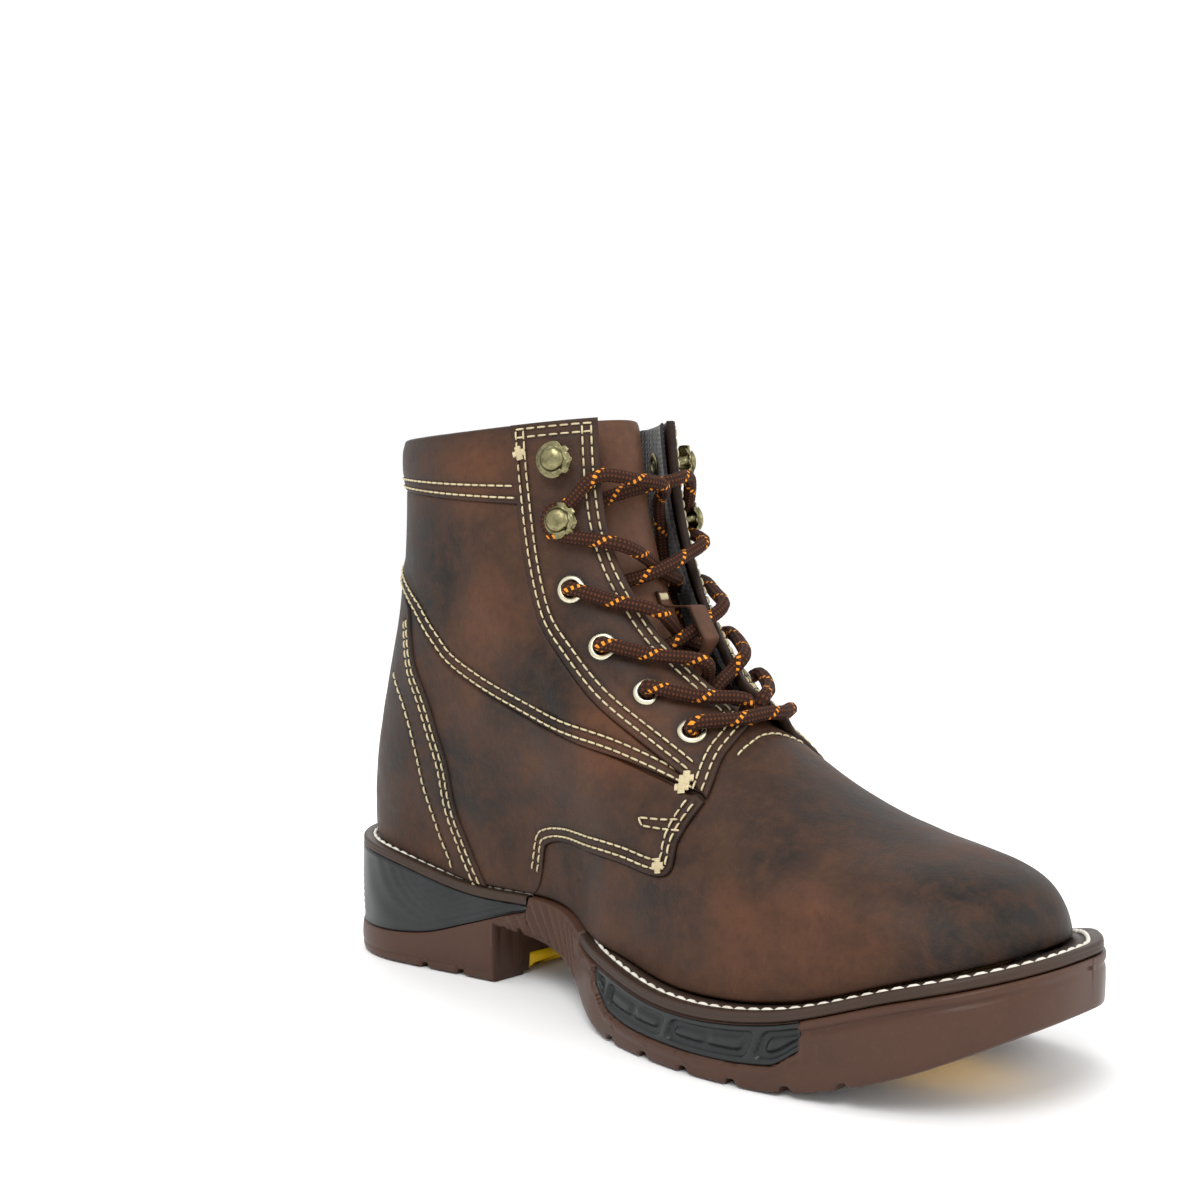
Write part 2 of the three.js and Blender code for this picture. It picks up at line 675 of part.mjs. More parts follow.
// A lacing hook: a riveted foot, a stem and a dome that keeps the lace from slipping off.
function hook() {
  const foot = LINING_BACK - 1.6;
  const dome = HOOK_DOME_RADIUS;
  return turned([
    [0, foot],
    [STEM_FOOT_RADIUS, foot],
    [STEM_FOOT_RADIUS, EYELET_TOP],
    [4.6, EYELET_TOP],
    [4.6, EYELET_TOP + 0.7],
    [HOOK_STEM_RADIUS, EYELET_TOP + 1.2],
    [HOOK_STEM_RADIUS, HOOK_UNDERSIDE],
    [dome, HOOK_UNDERSIDE],
    [dome, HOOK_UNDERSIDE + 0.7],
    [dome * 0.7, HOOK_UNDERSIDE + 1.9],
    [0, HOOK_UNDERSIDE + 2.5],
  ]);
}

function hookWasher() {
  const high = LINING_BACK - LAYER_GAP;
  const bore = STEM_FOOT_RADIUS + GAP;
  return turned([[bore, high - 0.8], [4, high - 0.8], [4, high], [bore, high], [bore, high - 0.8]]);
}

for (const [name, side] of SIDES) {
  node(`eyestay_${name}`, cut(patch(
    8,
    12,
    (s, t) => eyestayPlace(side < 0 ? 1 - s : s, t, side),
    OVERLAY_RISE,
    -LEATHER,
  ), punches(side)), leather());
  EYELETS.forEach(([phi, u], i) => {
    node(`eyelet_${name}_${i + 1}`, stand(eyelet(), side * phi, u), paleBrass());
  });
  HOOKS.forEach(([phi, u], i) => {
    node(`hook_${name}_${i + 1}`, stand(hook(), side * phi, u), brass());
    node(`hook_washer_${name}_${i + 1}`, stand(hookWasher(), side * phi, u), brass());
  });
}

// ---------------------------------------------------------------- tongue and lace keeper
const TONGUE_DEPTH = 2 * LEATHER + LINING_THICKNESS + LACE_DIAMETER + 2 * GAP;    // below the facings
const tongueHalf = through([0.6, 0.64, 0.68, 0.72, 0.78, 1.03], [7, 9, 16, 26, 38, 38]);
const tongueFace = (phi, u) => lerp(-LEATHER - LAYER_GAP, -TONGUE_DEPTH, smoothstep(0.597, 0.645, u));
node('tongue', patch(
  8,
  12,
  (s, t) => {
    const u = lerp(0.6, 1, t);
    return [lerp(-tongueHalf(u), tongueHalf(u), s), u];
  },
  tongueFace,
  (phi, u) => tongueFace(phi, u) - lerp(1.6, TONGUE_THICKNESS, smoothstep(0.6, 0.65, u)),
), leather());

// The keeper is a strap sewn to the tongue at both ends, with the crossed laces under it.
const KEEPER = { from: 0.745, to: 0.855, halfAngle: 5, wall: 1.5, arch: 13.4 };
node('lace_keeper', patch(
  3,
  12,
  (s, t) => [lerp(-KEEPER.halfAngle, KEEPER.halfAngle, s), lerp(KEEPER.from, KEEPER.to, t)],
  (phi, u) => keeperDepth(u) + KEEPER.wall,
  (phi, u) => keeperDepth(u),
), leather());

function keeperDepth(u) {
  const rise = smoothstep(KEEPER.from + 0.012, KEEPER.from + 0.036, u)
    - smoothstep(KEEPER.to - 0.036, KEEPER.to - 0.012, u);
  return -TONGUE_DEPTH + GAP + KEEPER.arch * rise;
}

// ---------------------------------------------------------------- toe cap, counter, padding
const CAP_REAR_X = 143 * STRETCH - CAP_LENGTH;
const CAP_FACE = -LEATHER - TOE_LAYER_GAP;
const frontX = (u) => bezier(FRONT_PROFILE, u)[0] * STRETCH;
const backX = (u) => bezier(BACK_PROFILE, u)[0] * STRETCH;
const angleAt = (x, u) => THREE.MathUtils.radToDeg(
  Math.acos(clamp((2 * (x - backX(u))) / (frontX(u) - backX(u)) - 1, -1, 1)),
);

// The u at which the front profile comes back to x.
function ridgeAt(x) {
  let low = 0.15;
  let high = 0.7;
  for (let i = 0; i < 40; i += 1) {
    const middle = (low + high) / 2;
    if (frontX(middle) > x) low = middle;
    else high = middle;
  }
  return (low + high) / 2;
}

const capTop = ridgeAt(CAP_REAR_X + 1.5);
node('steel_toe_cap', patch(
  22,
  7,
  (s, t) => {
    const u = lerp(0.02, capTop, t);
    const half = angleAt(CAP_REAR_X, u);
    return [lerp(-half, half, s), u];
  },
  CAP_FACE,
  CAP_FACE - CAP_WALL,
), steel());

const STRIP_LENGTH = 9;
node('toe_cap_edge_strip', patch(
  24,
  1,
  (s, t) => {
    const x = lerp(CAP_REAR_X - STRIP_LENGTH, CAP_REAR_X - SEAM_GAP, t);
    const across = lerp(1, -1, s);
    const u = lerp(ridgeAt(x), 0.03, Math.abs(across) ** 1.4);
    return [Math.sign(across) * angleAt(x, u), u];
  },
  CAP_FACE,
  CAP_FACE - CAP_WALL,
), blackRubber());

const COUNTER = { from: 128, top: 0.42 };
node('heel_counter', patch(
  14,
  5,
  (s, t) => {
    const half = 180 - COUNTER.from - 14 * t * t;
    return [180 + lerp(-half, half, s), lerp(0.02, COUNTER.top, t)];
  },
  -LEATHER - LAYER_GAP,
  -LEATHER - LAYER_GAP - COUNTER_WALL,
), paint('#8a7a5c', 0.8));

const COLLAR_PAD_FROM = 77;
const COLLAR_PAD_LOW = 0.92;
node('collar_padding', patch(
  20,
  2,
  (s, t) => [lerp(COLLAR_PAD_FROM, 360 - COLLAR_PAD_FROM, s), lerp(COLLAR_PAD_LOW, 0.985, t)],
  -LEATHER - LAYER_GAP,
  -LEATHER - LAYER_GAP - COLLAR_PAD,
), paint('#3a3a3a', 0.95));

// ---------------------------------------------------------------- linings
// How far the lining steps in to clear the cap, the counter and the collar padding.
function liningFace(phi, u) {
  const turn = Math.abs(phi > 180 ? phi - 360 : phi);
  const { x } = upperAt(phi, u);
  const cap = smoothstep(CAP_REAR_X - STRIP_LENGTH - 20, CAP_REAR_X - STRIP_LENGTH - 6, x)
    * (CAP_WALL + 2 * TOE_LAYER_GAP);
  const counter = smoothstep(COUNTER.from - 24, COUNTER.from - 10, turn)
    * (1 - smoothstep(COUNTER.top + 0.03, COUNTER.top + 0.12, u)) * (COUNTER_WALL + LAYER_GAP);
  const pad = smoothstep(COLLAR_PAD_FROM - 20, COLLAR_PAD_FROM - 8, turn)
    * smoothstep(COLLAR_PAD_LOW - 0.06, COLLAR_PAD_LOW - 0.02, u) * (COLLAR_PAD + LAYER_GAP);
  return LINING_FACE - Math.max(cap, counter, pad);
}
const liningBack = (phi, u) => liningFace(phi, u) - LINING_THICKNESS;

// The seam between the vamp's lining and the quarter's runs below the derby edge.
const liningSeam = through([0, 0.2, 0.3, 0.4, 0.5, 0.56], [76, 72, 66, 58, 47, 40]);
const liningFront = through(
  [0, 0.2, 0.3, 0.4, 0.5, 0.56, 0.61, 0.66, 0.7, 0.753, 0.789, 0.839, 0.873, 0.916, 1],
  [76, 72, 66, 58, 47, 40, 29, 14, 14, 18, 24, 29, 32, 33.5, 32],
);
node('vamp_lining', patch(
  18,
  6,
  (s, t) => {
    const u = lerp(0.02, 0.53, t);
    const half = liningSeam(u) - 1.5;
    return [lerp(-half, half, s), u];
  },
  liningFace,
  liningBack,
), liningCloth());
const LINING_U = [
  0.02, 0.08, 0.17, 0.32, COUNTER.top, 0.54, 0.62, 0.7, 0.78,
  COLLAR_PAD_LOW - 0.06, COLLAR_PAD_LOW - 0.02, 1,
];
const LINING_START = 78;
const LINING_HALF = [LINING_START, 84, 90, 96, 102, WING_END, 116, 124, 134, 145, 156, 167];
const LINING_PHI = [...LINING_HALF, 180, ...LINING_HALF.map((phi) => 360 - phi).reverse()];
node('quarter_lining', cut(patch(
  LINING_PHI.length - 1,
  LINING_U.length - 1,
  (s, t) => {
    const u = pick(LINING_U, t);
    const phi = pick(LINING_PHI, s);
    const share = (180 - phi) / (180 - LINING_START);
    return [phi + share * (liningFront(u) - LINING_START), u];
  },
  liningFace,
  liningBack,
), [...punches(-1), ...punches(1)]), liningCloth());

// ---------------------------------------------------------------- inside the sole
// A layer inside the upper: the upper's own outline at the welt, drawn in by inset.
function insideLayer(from, to, inset, lowZ, highZ, count = 16) {
  const edge = (side) => (x) => {
    const toe = endCap((to - x) / 34, 2.6);
    const heel = endCap((x - from) / 38, 2.1);
    const half = soleSide(x, side) - upperInset(along(x)) - inset;
    return side * Math.max(half * toe * heel, 0.4);
  };
  const middle = (from + to) / 2;
  const half = Math.ceil(count / 2);
  const stations = [
    ...easedRange(from, middle, half),
    ...easedRange(to, middle, half).reverse().slice(1),
  ];
  return slab(stations, 2, edge(-1), edge(1), lowZ, highZ);
}

const BOARD_INSET = LEATHER + LINING_THICKNESS + CAP_WALL + 3 * TOE_LAYER_GAP;
const BOARD_FROM = -149.5 * STRETCH + BOARD_INSET;
const BOARD_TO = 143 * STRETCH - BOARD_INSET;
const boardLow = (x) => featherZ(x) + GAP;
const boardHigh = (x) => boardLow(x) + BOARD_THICKNESS;
node(
  'insole_board',
  insideLayer(BOARD_FROM, BOARD_TO, BOARD_INSET + 1, boardLow, boardHigh),
  paint('#b59a6d', 0.9),
);
node(
  'footbed',
  insideLayer(
    BOARD_FROM + 2,
    BOARD_TO - 3,
    BOARD_INSET + 2.5,
    (x) => boardHigh(x) + GAP,
    (x) => boardHigh(x) + GAP + FOOTBED_THICKNESS,
  ),
  paint('#242424', 0.95),
);

// The cork filler and the steel shank lie between the outsole and the insole board.
const FILLER_INSET = WELT_WIDTH - upperInset(0) + 5;
node(
  'bottom_filler',
  insideLayer(
    0,
    BOARD_TO - 10,
    FILLER_INSET,
    (x) => bodyTopZ(x) + GAP,
    (x) => featherZ(x) - 0.1,
    12,
  ),
  paint('#9c7b4f', 0.95),
);


node('shank', shankSlab(0), steel());

// ---------------------------------------------------------------- lace
// One round lace. Its two halves mirror each other except where they cross: there the half
// that leaves from the medial side passes over the other. Points are [side, phi, u, depth].
const OVER = EYELET_TOP + 0.9 + LACE_DIAMETER / 2 + 0.2;        // lying on a facing
const UNDER = LINING_BACK - LACE_DIAMETER / 2 - 0.5;            // between facing and tongue
const CROSS_HIGH = -1.6;
const CROSS_LOW = -TONGUE_DEPTH + LACE_DIAMETER / 2 + 3 * GAP;

const HOOK_WRAP_RADIUS = HOOK_STEM_RADIUS + LACE_DIAMETER / 2 + 0.4;
const HOOK_WRAP_DEPTH = HOOK_UNDERSIDE - LACE_DIAMETER / 2 - 0.4;
const LACED_HOOK = HOOKS[0];
const pointAt = ([side, phi, u, depth]) => offsetAt(side * phi, u, depth);

// Down through an eyelet, along its own axis, from outside to inside.
const throughEyelet = (side, [phi, u]) => [OVER + 0.3, 1, -2, UNDER - 0.2]
  .map((depth) => [side, phi, u, depth]);

// From inside one side's eyelet, under its facing, across the tongue and over the other facing.
function crossing(side, [phiA, uA], [phiB, uB], high) {
  const at = (share) => lerp(uA, uB, share);
  const edgeA = facingEdge(at(0.3));
  const edgeB = facingEdge(at(0.72));
  const middle = high ? CROSS_HIGH : CROSS_LOW;
  return [
    [side, lerp(phiA, edgeA, 0.45), at(0.14), UNDER - 0.2],
    [side, edgeA, at(0.3), UNDER],
    [side, edgeA * 0.45, at(0.42), lerp(UNDER, middle, 0.6)],
    [-side, 0, at(0.52), middle],
    [-side, edgeB * 0.45, at(0.61), lerp(middle, OVER, 0.4)],
    [-side, edgeB - 3, at(0.7), OVER + 1],
    [-side, lerp(edgeB, phiB, 0.5), at(0.86), OVER + 0.4],
  ];
}

// Half a turn round the lower hook's stem, from below, behind it, to above.
function hookTurn(side) {
  const [phi, u] = LACED_HOOK;
  const normal = upperNormal(side * phi, u);
  const rear = upperAt(side * (phi + 2), u).sub(upperAt(side * phi, u)).normalize();
  const up = rear.clone().cross(normal).multiplyScalar(-side).normalize();
  const centre = pointAt([side, phi, u, HOOK_WRAP_DEPTH]);
  if (up.z < 0) up.negate();
  return [-100, -60, -20, 20, 60, 100].map((angle) => centre.clone()
    .addScaledVector(rear, HOOK_WRAP_RADIUS * Math.cos(rad(angle)))
    .addScaledVector(up, HOOK_WRAP_RADIUS * Math.sin(rad(angle))));
}

// One half of the lace, from the middle of its lowest bar to its tucked end.
function laceHalf(start) {
  const order = [start, -start, start, -start];
  const places = [
    [start, 14, 0.652, OVER + 0.3],
    ...throughEyelet(start, EYELETS[0]),
  ];
  for (let i = 1; i < EYELETS.length; i += 1) {
    places.push(...crossing(order[i - 1], EYELETS[i - 1], EYELETS[i], order[i - 1] < 0));
    places.push(...throughEyelet(order[i], EYELETS[i]));
  }
  const last = order[EYELETS.length - 1];
  const upTo = crossing(last, EYELETS[EYELETS.length - 1], LACED_HOOK, last < 0).slice(0, -1);
  places.push(...upTo);
  const high = start < 0;
  const back = [
    [-last, 33, 0.952, OVER],
    [-last, 15, 0.95, high ? 1.8 : -0.5],
    [last, 0, 0.948, high ? 0 : -6.2],
    [last, 15, 0.944, high ? -3.2 : -7],
    [last, 31, 0.935, UNDER - 0.2],
    [last, 42, 0.905, UNDER - 0.5],
    [last, 50, 0.86, UNDER - 0.6],
    [last, 56, 0.79, UNDER - 0.6],
    [last, 62, 0.71, UNDER - 0.6],
    [last, 70, 0.64, UNDER - 0.6],
    [last, 82, 0.6, UNDER - 0.6],
    [last, 96, 0.6, UNDER - 0.6],
  ];
  return [...places.map(pointAt), ...hookTurn(-last), ...back.map(pointAt)];
}

// A tube through given points, with a ring of vertices at each of them.
class Route extends THREE.Curve {
  constructor(points) {
    super();
    this.points = points;
  }

  getPoint(t) {
    const last = this.points.length - 1;
    const place = clamp(t, 0, 1) * last;
    const i = Math.min(Math.floor(place), last - 1);
    return this.points[i].clone().lerp(this.points[i + 1], place - i);
  }

  getPointAt(t) {
    return this.getPoint(t);
  }

  getTangentAt(t) {
    return this.getTangent(t);
  }
}

function tube(points, radius, sides = 8) {
  const section = new THREE.Shape(range(0, 2 * Math.PI, sides).slice(0, -1)
    .map((a) => new THREE.Vector2(radius * Math.cos(a), radius * Math.sin(a))));
  return new THREE.ExtrudeGeometry(section, {
    steps: points.length - 1,
    extrudePath: new Route(points),
  });
}

const AGLET_LENGTH = 20;
const laceHalves = [laceHalf(1), laceHalf(-1)];
const agletPaths = laceHalves.map((points) => {
  const end = points[points.length - 1];
  const before = points[points.length - 2];
  const way = end.clone().sub(before).normalize();
  return [end.clone().addScaledVector(way, GAP), end.clone().addScaledVector(way, AGLET_LENGTH)];
});
const barMiddle = pointAt([1, 0, 0.658, OVER + 0.5]);
const lacePoints = [...[...laceHalves[0]].reverse(), barMiddle, ...laceHalves[1]];
node('lace', tube(lacePoints, LACE_DIAMETER / 2), paint('#4a2c1e', 0.8));
agletPaths.forEach((points, i) => {
  node(`aglet_${i + 1}`, tube(points, LACE_DIAMETER / 2 - 0.3, 10), paint('#1d1a18', 0.3));
});

// The origin is the middle of the whole boot's footprint, on the ground.
const box = new THREE.Box3().setFromObject(assembly);
assembly.position.set(-(box.min.x + box.max.x) / 2, -(box.min.y + box.max.y) / 2, -box.min.z);

export default boot;
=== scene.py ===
"""The looks of a left steel toe work boot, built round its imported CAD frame.

Lengths are millimetres until a mesh is made, and to_mesh turns them into metres. The upper is
one surface in two coordinates: phi, the angle round the foot in degrees (0 at the toe and the
instep, negative on the medial side, 180 at the heel), and u, from 0 at the welt to 1 at the
topline. A depth is measured outwards from that surface along its normal.
"""
import itertools
import json
import math

import bmesh
import bpy
import numpy as np
from mathutils import Matrix

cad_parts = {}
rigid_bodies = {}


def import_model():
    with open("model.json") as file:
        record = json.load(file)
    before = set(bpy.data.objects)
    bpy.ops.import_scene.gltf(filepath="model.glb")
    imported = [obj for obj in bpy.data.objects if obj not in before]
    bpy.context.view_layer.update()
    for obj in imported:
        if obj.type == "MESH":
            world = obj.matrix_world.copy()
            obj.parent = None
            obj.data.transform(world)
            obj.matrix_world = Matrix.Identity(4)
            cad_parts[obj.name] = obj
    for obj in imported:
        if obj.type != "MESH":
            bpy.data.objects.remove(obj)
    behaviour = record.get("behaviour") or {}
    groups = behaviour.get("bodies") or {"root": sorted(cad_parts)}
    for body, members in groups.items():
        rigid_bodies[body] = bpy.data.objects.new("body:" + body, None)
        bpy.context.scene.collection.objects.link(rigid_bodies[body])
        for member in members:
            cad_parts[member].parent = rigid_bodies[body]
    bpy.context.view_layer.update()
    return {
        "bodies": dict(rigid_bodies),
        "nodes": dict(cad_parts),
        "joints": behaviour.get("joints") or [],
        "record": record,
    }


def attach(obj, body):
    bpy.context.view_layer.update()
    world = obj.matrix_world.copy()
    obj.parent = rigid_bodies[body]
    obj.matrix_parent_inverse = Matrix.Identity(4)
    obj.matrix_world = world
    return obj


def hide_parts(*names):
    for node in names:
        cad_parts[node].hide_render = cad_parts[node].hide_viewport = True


MM = 0.001
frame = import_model()


# ------------------------------------------------------------------ curves
def through(xs, ys):
    """Hermite curve through (xs, ys), with each slope taken from its two neighbours."""
    xs, ys = np.array(xs, float), np.array(ys, float)
    slopes = np.empty_like(ys)
    slopes[1:-1] = (ys[2:] - ys[:-2]) / (xs[2:] - xs[:-2])
    slopes[0] = (ys[1] - ys[0]) / (xs[1] - xs[0])
    slopes[-1] = (ys[-1] - ys[-2]) / (xs[-1] - xs[-2])

    def curve(value):
        """The cubic Hermite between the two stations round a value, level outside them all."""
        x = np.clip(value, xs[0], xs[-1])
        i = np.clip(np.searchsorted(xs, x, side="right") - 1, 0, len(xs) - 2)
        h = xs[i + 1] - xs[i]
        t = (x - xs[i]) / h
        return (
            (2 * t**3 - 3 * t**2 + 1) * ys[i]
            + (t**3 - 2 * t**2 + t) * h * slopes[i]
            + (3 * t**2 - 2 * t**3) * ys[i + 1]
            + (t**3 - t**2) * h * slopes[i + 1]
        )

    return curve


def bezier(points, u):
    """Cubic Bezier: the x and z of each u, from four control points."""
    p = np.array(points, float)
    v = 1 - u
    weights = (v**3, 3 * u * v**2, 3 * u**2 * v, u**3)
    return sum(w * p[i, 0] for i, w in enumerate(weights)), sum(
        w * p[i, 1] for i, w in enumerate(weights)
    )


def end_cap(q, power):
    """Superelliptic end: 0 at the tip, 1 where q reaches 1, squarer with a larger power."""
    c = np.clip(q, 0, 1)
    return (1 - (1 - c) ** power) ** (1 / power)


def smoothstep(a, b, x):
    """0 at a, 1 at b, and 3 t squared minus 2 t cubed between them."""
    t = np.clip((x - a) / (b - a), 0, 1)
    return t * t * (3 - 2 * t)


def lerp(a, b, t):
    """a plus t of the way to b."""
    return a + (b - a) * t


def unit(v):
    """A vector over its own length."""
    return v / np.maximum(np.linalg.norm(v, axis=-1, keepdims=True), 1e-12)


def noise3(points, cell, seed=0):
    """Smooth value noise in -1..1: hashed lattice values, a cell apart, blended by smoothstep."""
    q = points / cell + 61.7 * (seed + 1)
    base = np.floor(q).astype(np.int64)
    f = q - base
    f = f * f * (3 - 2 * f)
    total = 0
    for corner in range(8):
        d = np.array([corner & 1, corner >> 1 & 1, corner >> 2 & 1])
        c = base + d
        h = (c[..., 0] * 73856093) ^ (c[..., 1] * 19349663) ^ (c[..., 2] * 83492791) ^ seed * 7919
        h = (h ^ (h >> 13)) * 1274126177 & 0xFFFFFFFF
        value = ((h ^ (h >> 16)) & 0xFFFF) / 32767.5 - 1
        total = total + value * np.prod(np.where(d == 1, f, 1 - f), axis=-1)
    return total


# ------------------------------------------------------------------ the last
HALF = 155.0                         # half the boot's length
SIDE_X = [-155, -115, -75, -35, 5, 50, 95, 130, 155]
medial_side = through(SIDE_X, [37.9, 35.9, 30.3, 27.0, 47.9, 56.5, 51.3, 44.8, 38.9])
lateral_side = through(SIDE_X, [36, 39, 39, 39, 47.1, 54.9, 52, 45.3, 19.1])
feather = through(
    [-155, -120, -80, -40, 0, 40, 80, 120, 155],
    [46.2, 42.9, 34.7, 33.0, 27.8, 21.8, 24.7, 37.4, 47.6],
)
upper_inset = through([-155, -100, -60, -10, 20, 155], [4.5, 4.5, 2, 3, 8, 9])
FRONT_PROFILE = [(143, 45.6), (143, 99.6), (-2.5, 43.3), (-12.9, 203.1)]
BACK_PROFILE = [(-149.5, 46.2), (-154.7, 87), (-121.9, 118), (-128.6, 197.1)]
SHAFT_HALF_WIDTH = 39
TOPLINE_DIP = 1.5
shaft_share = through([0, 0.15, 0.35, 0.6, 1], [0, 0.12, 0.62, 0.95, 1])
front_radius = through([0, 0.15, 0.35, 0.6, 1], [38, 60, 92, 75, 62])
front_power = through([0, 0.2, 0.5, 1], [2.8, 2.3, 2, 2])
back_radius = through([0, 0.3, 1], [40, 44, 56])
BACK_POWER = 2.1
FRAME_SHIFT_Y = 0.716               # the drawing's centre line to the middle of the CAD box


def sole_edge(x, side):
    """Half width of the sole's edge at x: the side's curve times its square toe and round heel."""
    width = np.where(side < 0, medial_side(x), lateral_side(x))
    return width * end_cap((HALF - x) / 40, 2.8) * end_cap((x + HALF) / 42, 2.2)


def upper(phi, u):
    """The upper's surface: rings tilted between a front and a back profile, with a half width
    that blends from the sole's edge into the shaft and closes by superelliptic ends."""
    phi, u = np.broadcast_arrays(np.asarray(phi, float), np.asarray(u, float))
    turn = (phi + 180) % 360 - 180
    side = np.where(turn < 0, -1.0, 1.0)
    fx, fz = bezier(FRONT_PROFILE, u)
    bx, bz = bezier(BACK_PROFILE, u)
    share = (1 + np.cos(np.radians(turn))) / 2
    x = lerp(bx, fx, share)
    low = np.where(side < 0, medial_side(x), lateral_side(x)) - upper_inset(x)
    width = lerp(low, SHAFT_HALF_WIDTH, shaft_share(u))
    half = (
        width
        * end_cap((fx - x) / front_radius(u), front_power(u))
        * end_cap((x - bx) / back_radius(u), BACK_POWER)
    )
    drop = feather(x) - lerp(BACK_PROFILE[0][1], FRONT_PROFILE[0][1], share)
    dip = TOPLINE_DIP * np.sin(math.pi * share) * u**3
    z = lerp(bz, fz, share) + drop * np.maximum(0, 1 - u) ** 2.2 - dip
    return np.stack([x, side * half, z], -1)


def upper_normal(phi, u):
    """The cross product of the steps along phi and along u, made a unit long."""
    a = upper(phi + 1.2, u) - upper(phi - 1.2, u)
    b = upper(phi, np.minimum(u + 0.004, 1)) - upper(phi, np.maximum(u - 0.004, 0))
    return unit(np.cross(a, b))


def on_upper(phi, u, depth):
    """A point of the upper, moved out by depth along the surface's normal."""
    phi, u, depth = np.broadcast_arrays(phi, u, depth)
    return upper(phi, u) + upper_normal(phi, u) * np.asarray(depth)[..., None]


# ------------------------------------------------------------------ meshes
WELD_METRES = 2e-6


def inside_out(points, faces):
    """Whether a closed mesh's signed volume, a sum of tetrahedra to its middle, is negative."""
    q = points - points.mean(0)
    volume = 0.0
    for f in faces:
        for k in range(1, f.shape[1] - 1):
            a, b, c = q[f[:, 0]], q[f[:, k]], q[f[:, k + 1]]
            volume += float((a * np.cross(b, c)).sum())
    return volume < 0


def to_mesh(name, points, faces, material, body="boot", uv=None, weld=False):
    """An object at the origin from points in drawing millimetres and quads or triangles."""
    points = np.asarray(points, float).reshape(-1, 3) + (0, FRAME_SHIFT_Y, 0)
    faces = [np.asarray(f, np.int64) for f in (faces if isinstance(faces, list) else [faces])]
    if inside_out(points, faces):
        faces = [f[:, ::-1] for f in faces]
    mesh = bpy.data.meshes.new(name)
    mesh.vertices.add(len(points))
    mesh.vertices.foreach_set("co", (points * MM).astype(np.float32).ravel())
    loops = np.concatenate([f.ravel() for f in faces])
    sizes = np.concatenate([np.full(len(f), f.shape[1]) for f in faces])
    mesh.loops.add(len(loops))
    mesh.loops.foreach_set("vertex_index", loops.astype(np.int32))
    mesh.polygons.add(len(sizes))
    starts = np.concatenate([[0], np.cumsum(sizes)[:-1]])
    mesh.polygons.foreach_set("loop_start", starts.astype(np.int32))
    if uv is not None:
        layer = mesh.uv_layers.new(name="UVMap")
        layer.data.foreach_set("uv", np.asarray(uv, float).reshape(-1, 2)[loops].ravel())
    mesh.update(calc_edges=True)
    mesh.validate()
    if weld:
        merged = bmesh.new()
        merged.from_mesh(mesh)
        bmesh.ops.remove_doubles(merged, verts=merged.verts, dist=WELD_METRES)
        bmesh.ops.dissolve_degenerate(merged, edges=merged.edges, dist=WELD_METRES)
        merged.to_mesh(mesh)
        merged.free()
    mesh.polygons.foreach_set("use_smooth", np.full(len(mesh.polygons), True))
    mesh.materials.append(material)
    thing = bpy.data.objects.new(name, mesh)
    bpy.context.scene.collection.objects.link(thing)
    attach(thing, body)
    return thing


def grid_faces(rows, columns, start=0, close_columns=False, close_rows=False):
    """Quads over a grid of points stored row by row."""
    i = np.arange(columns if close_columns else columns - 1)
    j = np.arange(rows if close_rows else rows - 1)
    i, j = np.meshgrid(i, j)
    i2, j2 = (i + 1) % columns, (j + 1) % rows
    a, b = j * columns + i, j * columns + i2
    c, d = j2 * columns + i2, j2 * columns + i
    return np.stack([a, b, c, d], -1).reshape(-1, 4) + start


def shell(outer, inner):
    """Points and faces of a closed solid between two grids of the same shape."""
    rows, columns = outer.shape[:2]
    count = rows * columns
    index = np.arange(count).reshape(rows, columns)
    rim = np.concatenate([index[0, :-1], index[:-1, -1], index[-1, :0:-1], index[:0:-1, 0]])
    after = np.roll(rim, -1)
    sides = np.stack([rim, rim + count, after + count, after], -1)
    faces = np.concatenate([
        grid_faces(rows, columns),
        grid_faces(rows, columns, count)[:, ::-1],
        sides,
    ])
    return np.concatenate([outer.reshape(-1, 3), inner.reshape(-1, 3)]), faces


def edge_samples(count, length, edge=(0, 0.15, 0.4, 0.8, 1.3, 2.0)):
    """Parameters 0..1, evenly spaced but with a few more, in millimetres, at each end."""
    near = np.array(edge) / length
    near = near[near < 0.3]
    middle = np.linspace(near[-1], 1 - near[-1], count)
    return np.concatenate([near[:-1], middle, 1 - near[:-1][::-1]])


def grid_distances(points):
    """How far each grid point lies from the first and last column and row, along the grid."""
    along_s = np.cumsum(np.linalg.norm(np.diff(points, axis=1), axis=-1), axis=1)
    along_s = np.concatenate([np.zeros((points.shape[0], 1)), along_s], axis=1)
    along_t = np.cumsum(np.linalg.norm(np.diff(points, axis=0), axis=-1), axis=0)
    along_t = np.concatenate([np.zeros((1, points.shape[1])), along_t], axis=0)
    return along_s, along_s[:, -1:] - along_s, along_t, along_t[-1:] - along_t


def distance_to(points, cloud):
    """The distance from each point to the nearest of a cloud of points."""
    chunk = 3000                      # points handled at once, to bound the memory
    flat = points.reshape(-1, 3)
    out = np.empty(len(flat))
    squares = (cloud**2).sum(1)
    for start in range(0, len(flat), chunk):
        part = flat[start:start + chunk]
        d2 = (part**2).sum(1)[:, None] + squares - 2 * part @ cloud.T
        out[start:start + chunk] = np.sqrt(np.maximum(d2.min(1), 0))
    return out.reshape(points.shape[:-1])


# ------------------------------------------------------------------ materials
def linear(code):
    """An sRGB hex colour as linear RGBA."""
    parts = [int(code[i:i + 2], 16) / 255 for i in (1, 3, 5)]
    return [c / 12.92 if c <= 0.04045 else ((c + 0.055) / 1.055) ** 2.4 for c in parts] + [1.0]


